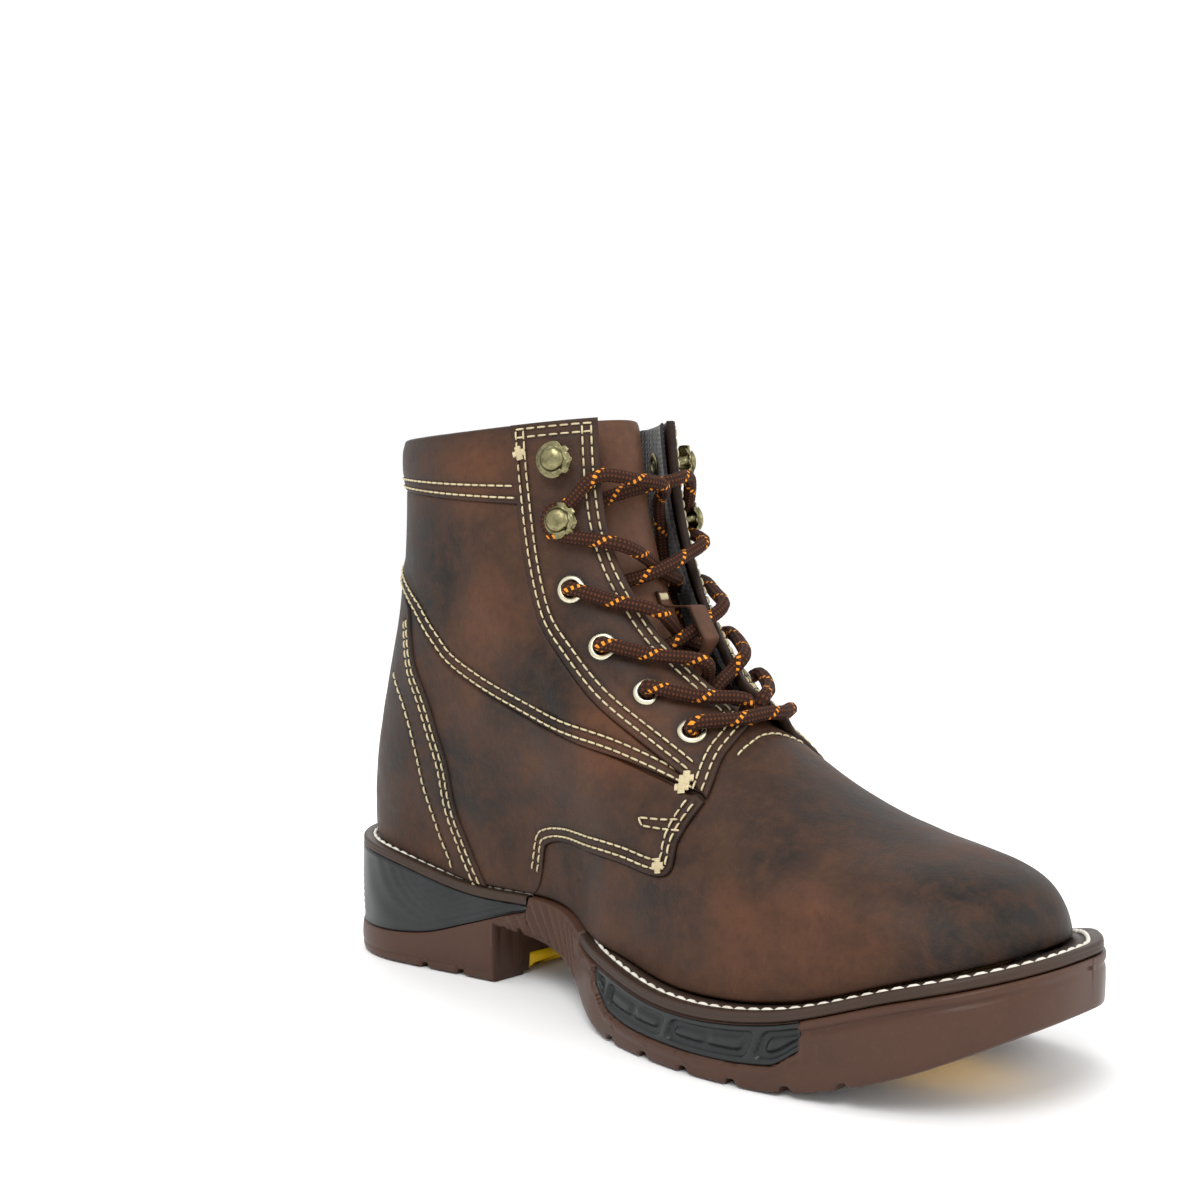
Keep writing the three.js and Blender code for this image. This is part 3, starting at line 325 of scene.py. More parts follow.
def add(tree, kind, inputs=None, **settings):
    """Adds a node, sets its properties and its inputs, and links an input given as a node and
    the number of its output."""
    node = tree.nodes.new(kind)
    for key, value in settings.items():
        setattr(node, key, value)
    for key, value in (inputs or {}).items():
        if isinstance(value, tuple) and isinstance(value[0], bpy.types.Node):
            tree.links.new(value[0].outputs[value[1]], node.inputs[key])
        else:
            node.inputs[key].default_value = value
    return node


def ramp(tree, source, stops):
    """A colour ramp fed by source; stops are (position, hex colour or grey level)."""
    node = add(tree, "ShaderNodeValToRGB", {"Fac": source})
    elements = node.color_ramp.elements
    while len(elements) < len(stops):
        elements.new(0.5)
    for element, (place, value) in zip(elements, stops):
        element.position = place
        element.color = linear(value) if isinstance(value, str) else [value] * 3 + [1.0]
    return node


def start_material(name):
    """An empty node tree with one principled shader joined to its output."""
    material = bpy.data.materials.new(name)
    material.use_nodes = True
    tree = material.node_tree
    tree.nodes.clear()
    shader = add(tree, "ShaderNodeBsdfPrincipled")
    add(tree, "ShaderNodeOutputMaterial", {"Surface": (shader, 0)})
    return material, tree, shader


def noise(tree, coords, size_mm, detail=4.0, rough=0.5, distortion=0.0):
    """Noise whose features are size_mm across: its scale is one over that size in metres."""
    return add(
        tree, "ShaderNodeTexNoise",
        {"Vector": coords, "Scale": 1 / (size_mm * MM), "Detail": detail, "Roughness": rough,
         "Distortion": distortion},
    )


def bump(tree, height, strength, distance_mm, under=None):
    """A bump of distance_mm driven by a height, laid over another bump when there is one."""
    inputs = {"Height": height, "Strength": strength, "Distance": distance_mm * MM}
    if under is not None:
        inputs["Normal"] = (under, 0)
    return add(tree, "ShaderNodeBump", inputs)


def mix_colour(tree, a, b, factor):
    """Colour a blended into colour b by a factor: a times (1 - factor) plus b times factor."""
    node = add(tree, "ShaderNodeMix", data_type="RGBA", blend_type="MIX")
    for socket, value in ((0, factor), (6, a), (7, b)):
        if isinstance(value, tuple):
            tree.links.new(value[0].outputs[value[1]], node.inputs[socket])
        else:
            node.inputs[socket].default_value = value
    return node


def leather_material(name, dark, deep, mid, warm, light, roughness=0.5, cloud=46):
    """Waxed, oiled full-grain leather: dark clouds over a warm brown hide, with patches of painted
    shade and painted light from the wax attribute, fine rubbed scratches, a tight pore grain, and
    painted shade along its seams."""
    material, tree, shader = start_material(name)
    place = add(tree, "ShaderNodeTexCoord")
    coords = (place, "Object")
    clouds = noise(tree, coords, cloud, 6, 0.6, 0.25)
    # The wax attribute is partly the hide's own mottling and partly painted shade and painted
    # light: positive darkens the tone, negative warms it.
    wax = add(tree, "ShaderNodeAttribute", attribute_name="wax")
    calm = add(tree, "ShaderNodeMath", {0: (clouds, 0), 1: 0.6, 2: 0.22},
               operation="MULTIPLY_ADD")
    clouds_and_painted_light = add(tree, "ShaderNodeMath", {0: (wax, "Fac"), 1: -0.25, 2: (calm, 0)},
                operation="MULTIPLY_ADD")
    tone = ramp(tree, (clouds_and_painted_light, 0), [(0.3, dark), (0.42, deep), (0.54, mid), (0.68, warm)])
    patches = noise(tree, coords, 9, 8, 0.72, 0.4)
    patch_mask = ramp(tree, (patches, 0), [(0.42, 0.0), (0.75, 0.5)])
    body = mix_colour(tree, (tone, 0), linear(light), (patch_mask, 0))
    smudge = noise(tree, coords, 3.2, 6, 0.7)
    smudge_mask = ramp(tree, (smudge, 0), [(0.48, 0.0), (0.8, 0.5)])
    body = mix_colour(tree, (body, 2), linear(deep), (smudge_mask, 0))
    stretch = add(tree, "ShaderNodeMapping", {"Vector": coords, "Scale": (1, 1, 0.16)})
    scratch = noise(tree, (stretch, 0), 0.55, 2, 0.6, 1.2)
    scratch_mask = ramp(tree, (scratch, 0), [(0.66, 0.0), (0.74, 0.16)])
    body = mix_colour(tree, (body, 2), linear("#7d6048"), (scratch_mask, 0))
    # Painted shade: the seam attribute darkens the hide towards its dark tone along the seams, cut
    # edges and eyelet holes.
    seam = add(tree, "ShaderNodeAttribute", attribute_name="seam")
    seam_shade_mask = add(tree, "ShaderNodeMath", {0: (seam, "Fac"), 1: 0.7}, operation="MULTIPLY")
    body = mix_colour(tree, (body, 2), linear(dark), (seam_shade_mask, 0))
    tree.links.new(body.outputs[2], shader.inputs["Base Color"])
    gloss = ramp(tree, (patches, 0), [(0.3, roughness - 0.08), (0.75, roughness + 0.14)])
    tree.links.new(gloss.outputs[0], shader.inputs["Roughness"])
    pores = add(tree, "ShaderNodeTexVoronoi",
                {"Vector": coords, "Scale": 1 / (0.75 * MM)}, feature="DISTANCE_TO_EDGE")
    pore_height = ramp(tree, (pores, 0), [(0.0, 0.0), (0.22, 1.0)])
    grain = bump(tree, (pore_height, 0), 0.3, 0.12)
    creased = noise(tree, coords, 2.6, 6, 0.62, 0.6)
    soft = bump(tree, (creased, 0), 0.4, 0.5, grain)
    tree.links.new(soft.outputs[0], shader.inputs["Normal"])
    shader.inputs["Specular IOR Level"].default_value = 0.24
    return material


def rubber_material(name, colour, worn, roughness, speck=1.6, grain_mm=0.35, dust=None):
    """Moulded rubber: even colour with faint flow marks, a fine moulded grain and a satin bloom."""
    material, tree, shader = start_material(name)
    place = add(tree, "ShaderNodeTexCoord")
    coords = (place, "Object")
    flow = noise(tree, coords, 16, 4, 0.55)
    flow_mask = ramp(tree, (flow, 0), [(0.35, 0.0), (0.75, 0.6)])
    body = mix_colour(tree, linear(colour), linear(worn), (flow_mask, 0))
    specks = noise(tree, coords, speck, 3, 0.7)
    speck_mask = ramp(tree, (specks, 0), [(0.55, 0.0), (0.8, 0.35)])
    body = mix_colour(tree, (body, 2), linear(dust or worn), (speck_mask, 0))
    tree.links.new(body.outputs[2], shader.inputs["Base Color"])
    gloss = ramp(tree, (flow, 0), [(0.3, roughness - 0.07), (0.7, roughness + 0.08)])
    tree.links.new(gloss.outputs[0], shader.inputs["Roughness"])
    shader.inputs["Specular IOR Level"].default_value = 0.3
    grain = noise(tree, coords, grain_mm, 3, 0.6)
    fine = bump(tree, (grain, 0), 0.25, 0.1)
    tree.links.new(fine.outputs[0], shader.inputs["Normal"])
    return material


def thread_material(name, colour, shade):
    """Bonded polyester thread: cream, slightly glossy, with a two-ply twist and grime."""
    material, tree, shader = start_material(name)
    place = add(tree, "ShaderNodeTexCoord")
    dirt = noise(tree, (place, "Object"), 9, 4, 0.6)
    dirt_mask = ramp(tree, (dirt, 0), [(0.45, 0.0), (0.8, 0.7)])
    body = mix_colour(tree, linear(colour), linear(shade), (dirt_mask, 0))
    tree.links.new(body.outputs[2], shader.inputs["Base Color"])
    shader.inputs["Roughness"].default_value = 0.62
    fibre = noise(tree, (place, "Object"), 0.25, 2, 0.5)
    fuzz = bump(tree, (fibre, 0), 0.5, 0.12)
    tree.links.new(fuzz.outputs[0], shader.inputs["Normal"])
    return material


def metal_material(name, colour, dark, roughness, tarnish=0.6):
    """Plated brass: bright where it is rubbed, browner and duller in the recesses."""
    material, tree, shader = start_material(name)
    place = add(tree, "ShaderNodeTexCoord")
    patina = noise(tree, (place, "Object"), 2.4, 5, 0.6)
    patina_mask = ramp(tree, (patina, 0), [(0.42, 0.0), (0.72, tarnish)])
    body = mix_colour(tree, linear(colour), linear(dark), (patina_mask, 0))
    tree.links.new(body.outputs[2], shader.inputs["Base Color"])
    gloss = ramp(tree, (patina, 0), [(0.35, roughness), (0.75, roughness + 0.25)])
    tree.links.new(gloss.outputs[0], shader.inputs["Roughness"])
    shader.inputs["Metallic"].default_value = 1.0
    return material


def mesh_cloth_material(name, colour, thread, cell_mm=1.7):
    """Knitted spacer mesh: dark, matt, with open cells a cell_mm apart."""
    material, tree, shader = start_material(name)
    place = add(tree, "ShaderNodeTexCoord")
    cells = add(tree, "ShaderNodeTexVoronoi",
                {"Vector": (place, "Object"), "Scale": 1 / (cell_mm * MM), "Randomness": 0.25})
    holes = ramp(tree, (cells, 0), [(0.18, 0.0), (0.45, 1.0)])
    body = mix_colour(tree, linear(colour), linear(thread), (holes, 0))
    tree.links.new(body.outputs[2], shader.inputs["Base Color"])
    shader.inputs["Roughness"].default_value = 0.92
    shader.inputs["Sheen Weight"].default_value = 0.25
    relief = bump(tree, (holes, 0), 0.7, 0.5)
    tree.links.new(relief.outputs[0], shader.inputs["Normal"])
    return material


# Dark, deep, mid, warm and light tones: a waxed hide, near black in its dark clouds and where the
# wax attribute paints shade.
UPPER = leather_material("waxed_leather", "#120e0b", "#22160f", "#382317", "#52311d", "#5b3a25")
# The tongue's softer hide: lighter, more even and a little duller.
SOFT = leather_material(
    "soft_tongue_leather", "#261912", "#3a261a", "#533423", "#66412b", "#6d4932", 0.52, 30,
)
# Chocolate brown rubber with a satin skin and paler scuffs.
SOLE = rubber_material("moulded_sole_rubber", "#40281b", "#4d3022", 0.42, dust="#573a2a")
# A shade greyer and duller than the sole below it.
WELT = rubber_material("welt_rubber", "#34251c", "#403027", 0.52)
# Glossy black trim: heel wedge, windows, waist plate and the cap's edge strip.
BLACK = rubber_material("black_rubber", "#1e2020", "#2e3132", 0.34)
# Warm yellow tread inserts.
YELLOW = rubber_material("yellow_rubber", "#f7c40f", "#fbd02a", 0.42, dust="#e8b20c")
# Cream thread, browner where grime has reached it.
THREAD = thread_material("cream_thread", "#c6b893", "#8f7b58")
# The welt's thicker thread, nearly white.
WELT_THREAD = thread_material("white_welt_thread", "#e4dfd2", "#b5a893")
# Eyelets: pale and bright.
EYELET_METAL = metal_material("pale_plated_brass", "#d9d2b8", "#9a9072", 0.24, 0.4)
# Hooks: darker, greenish brown in the recesses.
HOOK_METAL = metal_material("antique_brass", "#8d8662", "#3c3827", 0.26, 0.75)
# Black spacer mesh with grey ribs between its cells.
LINING = mesh_cloth_material("lining_mesh", "#0d0c0c", "#2b2726")
# The footbed's cover: the same cloth with a finer cell.
FOOTBED = mesh_cloth_material("footbed_cloth", "#101011", "#2e2e30", 1.1)
# Tan fibre board.
BOARD = rubber_material("cellulose_board", "#a58a60", "#bfa67c", 0.85, 2.4, 0.6)
# Brown cork with dark crumbs.
CORK = rubber_material("cork_filler", "#8f6c43", "#b08a5a", 0.95, 3.0, 1.2, "#5d4328")
# Grey steel, faintly stained.
STEEL = metal_material("pressed_steel", "#a9a9a6", "#77756f", 0.32, 0.5)
# Shiny dark plastic tips.
AGLET = rubber_material("aglet_acetate", "#1d1a18", "#2b2724", 0.3)
# Grey open-cell foam inside the collar.
FOAM = rubber_material("open_cell_foam", "#39393a", "#454547", 0.95, 0.8, 0.5)


def lace_material():
    """Round braided polyester: brown, matt, with painted shade in the braid's grooves and paired
    orange tracer yarns on every braid turn.
    The UV map counts braid turns along the lace and once round it."""
    material, tree, shader = start_material("braided_polyester_lace")
    uv = add(tree, "ShaderNodeTexCoord")
    axes = add(tree, "ShaderNodeSeparateXYZ", {"Vector": (uv, "UV")})

    def wave(sign, turns, around):
        """The sine of turns along the lace plus or minus a number of turns round it."""
        along = add(tree, "ShaderNodeMath", {0: (axes, 0), 1: turns * 2 * math.pi},
                    operation="MULTIPLY")
        round_ = add(tree, "ShaderNodeMath", {0: (axes, 1), 1: sign * around * 2 * math.pi},
                     operation="MULTIPLY")
        both = add(tree, "ShaderNodeMath", {0: (along, 0), 1: (round_, 0)}, operation="ADD")
        return add(tree, "ShaderNodeMath", {0: (both, 0)}, operation="SINE")

    left, right = wave(1, 3, 4), wave(-1, 3, 4)
    braid = add(tree, "ShaderNodeMath", {0: (left, 0), 1: (right, 0)}, operation="MULTIPLY")
    # Painted shade: darker where the braid's relief is low, in the grooves between its yarns.
    shade = ramp(tree, (braid, 0), [(0.15, "#2c180f"), (0.7, "#55301d")])
    pair = wave(1, 0.5, 1)
    pair_mask = ramp(tree, (pair, 0), [(0.9, 0.0), (0.94, 1.0)])
    ticks = ramp(tree, (right, 0), [(0.1, 0.0), (0.35, 1.0)])
    fleck = add(tree, "ShaderNodeMath", {0: (pair_mask, 0), 1: (ticks, 0)}, operation="MULTIPLY")
    body = mix_colour(tree, (shade, 0), linear("#e8902c"), (fleck, 0))
    tree.links.new(body.outputs[2], shader.inputs["Base Color"])
    shader.inputs["Roughness"].default_value = 0.85
    shader.inputs["Specular IOR Level"].default_value = 0.2
    relief = bump(tree, (braid, 0), 0.5, 0.3)
    tree.links.new(relief.outputs[0], shader.inputs["Normal"])
    return material


LACE = lace_material()


# ------------------------------------------------------------------ seams of the upper
vamp_top = through(
    [0, 7.5, 25.8, 37.2, 50.5, 58.9, 64.8, 69.8, 73.7, 80.7, 87, 96.5, 103.4, 107.5],
    [0.655, 0.655, 0.605, 0.548, 0.452, 0.381, 0.314, 0.231, 0.207, 0.204, 0.197, 0.174, 0.14,
     0.08],
)
facing_edge = through(
    [0.5, 0.605, 0.655, 0.7, 0.753, 0.789, 0.839, 0.873, 0.916, 1],
    [45, 25.8, 9, 9.5, 16, 22, 27, 30, 31.5, 30],
)
eyestay_rear = through(
    [0.5, 0.532, 0.592, 0.652, 0.722, 0.773, 0.826, 0.926, 1],
    [48.4, 49.4, 53.8, 59.6, 63.8, 67.2, 67.4, 66.2, 65.8],
)
long_seam = through(
    [46.6, 52, 55.5, 66.3, 81.2, 92, 103.4, 112.3, 117.2, 126.6, 150, 180],
    [0.505, 0.468, 0.488, 0.522, 0.535, 0.562, 0.595, 0.629, 0.666, 0.716, 0.75, 0.76],
)
foxing_edge = through(
    [0.0, 0.09, 0.191, 0.331, 0.441, 0.532, 0.6, 0.72],
    [117.5, 120.5, 122.2, 120.7, 121.2, 122.7, 126.5, 130],
)
COLLAR_EDGE = 0.926                   # the u of the collar's seam
COLLAR_ROWS_U = (0.9325, 0.9445)
BACKSTAY_HALF = 13
RISE_PER_U = 160                    # millimetres of height for one unit of u
EYELETS = [(33.2, 0.635), (39.2, 0.699), (47.1, 0.763), (51.5, 0.836)]
HOOKS = [(49, 0.91), (48, 0.967)]
SIDES = (("medial", -1), ("lateral", 1))
ROW_OFFSETS = (2.4, 5.3)              # a double row's two distances from a panel's edge


def quarter_foot(phi):
    """The quarter's lower edge: along the vamp's top line, then down to the welt."""
    return lerp(vamp_top(phi), 0.002, smoothstep(103.5, 108.5, phi))


def turned_phi(phi):
    """How far round from the toe, 0 to 180 degrees, on either side."""
    return np.abs((np.asarray(phi, float) + 180) % 360 - 180)


def relief(points):
    """The hide's own unevenness in millimetres: a slow swell and a finer pucker."""
    return 0.3 * noise3(points, 24, 1) + 0.11 * noise3(points, 8, 2)


def vamp_depth(phi, u):
    """Level, but dipping under the quarter and the eyestay that are sewn over it."""
    above = (u - vamp_top(turned_phi(phi))) * RISE_PER_U
    return -1.5 * smoothstep(-0.8, 1.6, above)


def quarter_depth(phi, u):
    """Lying on the vamp along its lower and front edges, and passing under the shaft."""
    turn = turned_phi(phi)
    low = smoothstep(11, 3, (u - quarter_foot(turn)) * RISE_PER_U)
    low = low * (1 - smoothstep(103, 110, turn))
    front = smoothstep(62, 53, turn) * smoothstep(0.36, 0.42, u)
    lifted = 0.1 + 1.0 * np.maximum(low, front)
    above = (u - long_seam(turn)) * RISE_PER_U
    return lerp(lifted, -1.3, smoothstep(-0.8, 1.6, above))


def shaft_depth(phi, u):
    """Lying on the quarter along its lower edge; under the eyestay, backstay and collar."""
    turn = turned_phi(phi)
    low = smoothstep(10, 3, (u - long_seam(turn)) * RISE_PER_U)
    lifted = 0.15 + 1.0 * low
    front = smoothstep(1.5, -1.5, turn - eyestay_rear(u))
    rear = smoothstep(180 - BACKSTAY_HALF - 1.5, 180 - BACKSTAY_HALF + 1.5, turn)
    top = smoothstep(-0.8, 1.6, (u - COLLAR_EDGE) * RISE_PER_U)
    return lerp(lifted, -1.3, np.maximum(np.maximum(front, rear), top))


def collar_depth(phi, u):
    """A soft padded roll: proud of the shaft at its seam and crowned in the middle."""
    t = np.clip((u - COLLAR_EDGE) / (1 - COLLAR_EDGE), 0, 1)
    return 0.75 + 0.9 * np.sin(math.pi * t) ** 0.8 - 0.6 * smoothstep(0.75, 1, t)


def eyestay_depth(phi, u):
    """Flat on the panels, with the lateral facing's front corner sprung off the throat."""
    from_edge = turned_phi(phi) - facing_edge(np.maximum(u, THROAT_U))
    corner = smoothstep(16, 0, from_edge) * smoothstep(0.735, 0.66, u)
    return 1.15 + np.where(np.asarray(phi) > 0, 4.5, 0.6) * corner


def foxing_depth(phi, u):
    """Lying on the quarter at its front edge, settling inwards over twelve degrees."""
    turn = turned_phi(phi)
    return lerp(1.05, 0.7, smoothstep(0, 12, turn - foxing_edge(u)))


def backstay_depth(phi, u):
    """A level strip that thins a little at the topline."""
    return 1.25 - 0.25 * smoothstep(0.95, 1, u) + 0 * phi


def step_across(phi, u, distance):
    """The line (phi, u) moved sideways by a distance within the surface: the step in phi and u
    whose world vector is the normal crossed with the line's direction."""
    a = upper(phi + 0.5, u) - upper(phi - 0.5, u)
    b = (upper(phi, u + 0.002) - upper(phi, u - 0.002)) / 0.004
    along = unit(np.gradient(upper(phi, u), axis=0))
    across = np.cross(upper_normal(phi, u), along) * distance
    aa, ab, bb = (a * a).sum(-1), (a * b).sum(-1), (b * b).sum(-1)
    pa, pb = (a * across).sum(-1), (b * across).sum(-1)
    det = aa * bb - ab * ab
    return phi + (pa * bb - pb * ab) / det, u + (pb * aa - pa * ab) / det


class Row:
    """A stitched line: its middle on the surface, its normals and its length so far."""

    def __init__(self, phi, u, depth, offset=0.0):
        """From a line (phi, u), moved sideways by offset, lying on a panel's depth."""
        phi, u = np.asarray(phi, float), np.asarray(u, float)
        if offset:
            phi, u = step_across(phi, u, offset)
        base = upper(phi, u)
        self.normals = upper_normal(phi, u)
        self.base = base
        self.points = base + self.normals * (depth(phi, u) + relief(base))[:, None]
        steps = np.linalg.norm(np.diff(self.points, axis=0), axis=1)
        self.length = np.concatenate([[0], np.cumsum(steps)])

    def at(self, distance):
        """Point and normal at a distance along the row, linear between its points."""
        pick = [np.interp(distance, self.length, self.points[:, k]) for k in range(3)]
        normal = [np.interp(distance, self.length, self.normals[:, k]) for k in range(3)]
        return np.stack(pick, -1), unit(np.stack(normal, -1))


# One stitch: a thread that comes up from the leather, lies on it and goes back down.
STITCH_RINGS = np.array([
    [-1.0, 0.35, -0.9], [-0.9, 0.85, -0.25], [-0.4, 1.0, 0.3],
    [0.4, 1.0, 0.3], [0.9, 0.85, -0.25], [1.0, 0.35, -0.9],
])                                    # along, radius, height, in half lengths and radii
STITCH_SIDES = 6


def capsules(centres, along, normals, length, radius):
    """Points and faces of one small closed thread at each centre."""
    across = unit(np.cross(normals, along))
    angle = np.arange(STITCH_SIDES) * 2 * math.pi / STITCH_SIDES
    ring_x, ring_r, ring_h = STITCH_RINGS.T
    offset_along = ring_x[:, None] * length / 2 + 0 * angle
    offset_up = ring_h[:, None] * radius + ring_r[:, None] * radius * np.sin(angle)
    offset_side = ring_r[:, None] * radius * np.cos(angle)
    points = (
        centres[:, None, None]
        + along[:, None, None] * offset_along[None, ..., None]
        + normals[:, None, None] * offset_up[None, ..., None]
        + across[:, None, None] * offset_side[None, ..., None]
    )
    per = len(STITCH_RINGS) * STITCH_SIDES
    quads = grid_faces(len(STITCH_RINGS), STITCH_SIDES, close_columns=True)
    starts = np.arange(len(centres))[:, None, None] * per
    first = np.arange(STITCH_SIDES)[::-1]
    last = np.arange(STITCH_SIDES) + per - STITCH_SIDES
    caps = np.stack([first, last])
    return points.reshape(-1, 3), [
        (quads[None] + starts).reshape(-1, 4),
        (caps[None] + starts).reshape(-1, STITCH_SIDES),
    ]


STITCH_PITCH = 3.6
STITCH_LENGTH = 3.0
THREAD_RADIUS = 0.36
STITCH_LIFT = 0.1


def sew(name, rows):
    """Stitches at an even pitch along every row, as one piece."""
    centres, along, normals = [], [], []
    for row in rows:
        count = max(int(row.length[-1] / STITCH_PITCH), 1)
        middle = (np.arange(count) + 0.5) * row.length[-1] / count
        a, _ = row.at(middle - STITCH_LENGTH / 2)
        b, _ = row.at(middle + STITCH_LENGTH / 2)
        c, n = row.at(middle)
        along.append(unit(b - a))
        normals.append(n)
        centres.append((a + b) / 4 + c / 2 + n * STITCH_LIFT)
    points, faces = capsules(*map(np.concatenate, (centres, along, normals)), STITCH_LENGTH,
                             THREAD_RADIUS)
    to_mesh(name, points, faces, THREAD)


# Wax patches, partly the hide's own mottling and partly painted shade (positive) and painted light
# (negative): middle, radius, share.
WAX_AND_PAINTED_LIGHT = np.array([
    (-88, 38, 150, 24, 0.9), (-118, 22, 128, 34, 1.0), (-30, 38, 107, 15, 0.9),
    (-78, 32, 74, 17, 0.75), (70, 40, 66, 13, 0.6), (137, 20, 58, 22, 1.1),
    (32, 46, 46, 15, 0.6), (84, 6, 80, 18, 0.55), (-125, 10, 80, 26, 0.7),
    (2, 37, 96, 17, -1.0), (-60, 38, 138, 17, -0.6), (58, 44, 54, 20, -0.55),
    (-60, 38, 184, 15, -0.5), (98, 46, 42, 20, -0.5), (112, 10, 72, 16, -0.4),
])


def set_tones(thing, points, seam):
    """Painted shade along the seams, and the wax: a sum of soft round patches, partly the hide's
    own mottling and partly painted shade and painted light, alike on both sides.
    """
    q = points * np.where(points[:, 1:2] < 0, (1.0, -1.0, 1.0), (1.0, 1.0, 1.0))
    away = np.linalg.norm(q[:, None] - WAX_AND_PAINTED_LIGHT[None, :, :3], axis=-1)
    wax = (WAX_AND_PAINTED_LIGHT[:, 4] * np.exp(-((away / WAX_AND_PAINTED_LIGHT[:, 3]) ** 2))).sum(1)
    for name, values in (("seam", seam), ("wax", wax)):
        layer = thing.data.attributes.new(name, "FLOAT", "POINT")
        layer.data.foreach_set("value", np.asarray(values, np.float32).ravel())


def panel(name, nodes, place, span, depth, rows=(), thickness=1.8, counts=(90, 60), fold=0.0,
          holes=()):
    """A leather panel: a patch of the upper with a rounded cut edge, the hide's unevenness, a
    furrow along each row of stitches, and painted shade in the stitch furrows, along the cut
    edge, round the eyelet holes and over the inner face."""
    s, t = np.meshgrid(edge_samples(counts[0], span[0]), edge_samples(counts[1], span[1]))
    phi, u = place(s, t)
    base = upper(phi, u)
    normal = upper_normal(phi, u)
    border = np.minimum.reduce(grid_distances(base))
    near = np.clip(border / 0.9, 0, 1)
    drop = 0.9 * (1 - np.sqrt(1 - (1 - near) ** 2))
    height = depth(phi, u) + relief(base) - drop
    # Painted shade: darker near the cut edge, in the stitch furrows and round the eyelet holes.
    seam_shade = 0.9 * np.exp(-border / 1.3)
    if rows:
        to_row = distance_to(base, np.concatenate([row.base for row in rows]))
        height = height - 0.42 * np.exp(-((to_row / 1.0) ** 2))
        seam_shade = np.maximum(seam_shade, 0.6 * np.exp(-((to_row / 1.5) ** 2)))
    if fold:
        height = height + fold * creases(base)
    for centre in holes:
        away = np.linalg.norm(base - centre, axis=-1)
        height = lerp(height, -thickness + depth(phi, u) + 0.15, smoothstep(3.5, 2.9, away))
        seam_shade = np.maximum(seam_shade, 0.9 * smoothstep(8, 4.5, away))
    outer = base + normal * height[..., None]
    inner = base + normal * (depth(phi, u) - thickness)[..., None]
    points, faces = shell(outer, inner)
    thing = to_mesh(name, points, faces, UPPER)
    # The inner face gets a flat 0.8 of painted shade.
    set_tones(thing, points, np.concatenate([seam_shade.ravel(), np.full(seam_shade.size, 0.8)]))
    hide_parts(*nodes)


def creases(base):
    """Soft wrinkles across the ankle and the instep, strongest where the boot bends."""
    x, z = base[..., 0], base[..., 2]
    wave = np.sin((z * 0.85 + x * 0.55) / 3.1 + 2.2 * noise3(base, 17, 5))
    where = np.exp(-(((z - 118) / 26) ** 2)) * smoothstep(-95, -30, x)
    return wave * where * (0.5 + 0.5 * noise3(base, 12, 6))


line = np.linspace


def side_rows(side):
    """The stitched rows of one side, by panel."""
    quarter_phi = line(52.5, 106, 140)
    quarter_low = quarter_foot(quarter_phi)
    seam_phi = line(52, 165, 220)
    stay_u = line(0.52, 0.995, 160)
    edge_u = line(0.665, 0.995, 140)
    throat_phi = line(10, 47, 90)
    fox_u = line(0.01, 0.7, 130)
    collar_phi = line(66.5, 166, 180)
    inward = -side
    rows = {"quarter": [], "shaft": [], "eyestay": [], "foxing": [], "collar": []}
    for offset in ROW_OFFSETS:
        rows["quarter"].append(
            Row(side * quarter_phi, quarter_low, quarter_depth, -inward * offset))
        rows["shaft"].append(
            Row(side * seam_phi, long_seam(seam_phi), shaft_depth, -inward * offset))
        rows["eyestay"].append(
            Row(side * eyestay_rear(stay_u), stay_u, eyestay_depth, -inward * offset))
        rows["eyestay"].append(
            Row(side * facing_edge(edge_u), edge_u, eyestay_depth, inward * offset))
        rows["eyestay"].append(
            Row(side * throat_phi, vamp_top(throat_phi), eyestay_depth, -inward * offset))
        top_phi = line(float(facing_edge(1.0)) + 2.4, float(eyestay_rear(1.0)) - 2, 40)
        rows["eyestay"].append(
            Row(side * top_phi, 1 + 0 * top_phi, eyestay_depth, inward * (offset - 0.6)))
        rows["foxing"].append(
            Row(side * foxing_edge(fox_u), fox_u, foxing_depth, inward * offset))
    rows["collar"] = [
        Row(side * collar_phi, 0 * collar_phi + height, collar_depth) for height in COLLAR_ROWS_U
    ]
    single = through([0.03, 0.104, 0.217, 0.348, 0.468, 0.545], [125.6, 128, 129.6, 130, 133, 142])
    single_u = line(0.015, 0.545, 110)
    rows["foxing"].append(Row(side * single(single_u), single_u, foxing_depth))
    tab = ((60.5, 0.384, 71, 0.356), (71, 0.356, 71.5, 0.334), (71.5, 0.334, 62, 0.352))
    for phi_a, u_a, phi_b, u_b in tab:
        rows["quarter"].append(Row(side * line(phi_a, phi_b, 12), line(u_a, u_b, 12),
                                   quarter_depth))
    return rows


def ordered(side, place):
    """place(s, t) for the lateral side, or its mirror with s turned round so that phi still
    grows with s."""
    def mirrored(s, t):
        """The place on its side: s runs backwards and phi is negative on the medial one."""
        phi, u = place(1 - s if side < 0 else s, t)
        return side * phi, u
    return mirrored


UNDERLAP = 6.5 / RISE_PER_U


def quarter_place(s, t):
    """From the quarter's foot to a little above the long seam."""
    phi = lerp(50, 131, s)
    return phi, lerp(quarter_foot(phi), long_seam(phi) + UNDERLAP, t)


def shaft_place(s, t):
    """From the long seam to a little above the collar's, the front edge following the eyestay."""
    start, end = 50.0, 172.0
    low_phi = lerp(start, end, s)
    high = COLLAR_EDGE + UNDERLAP * 0.6
    shift = eyestay_rear(lerp(long_seam(start), high, t)) - start - 5
    u = lerp(long_seam(low_phi), high, t)
    return low_phi + (1 - s) * shift * smoothstep(0, 0.02, t + 0.02), u


def collar_place(s, t):
    """The band between the collar's seam and the topline, eyestay to backstay."""
    u = lerp(COLLAR_EDGE, 1, t)
    return lerp(eyestay_rear(u) - 3, 180 - BACKSTAY_HALF + 4, s), u


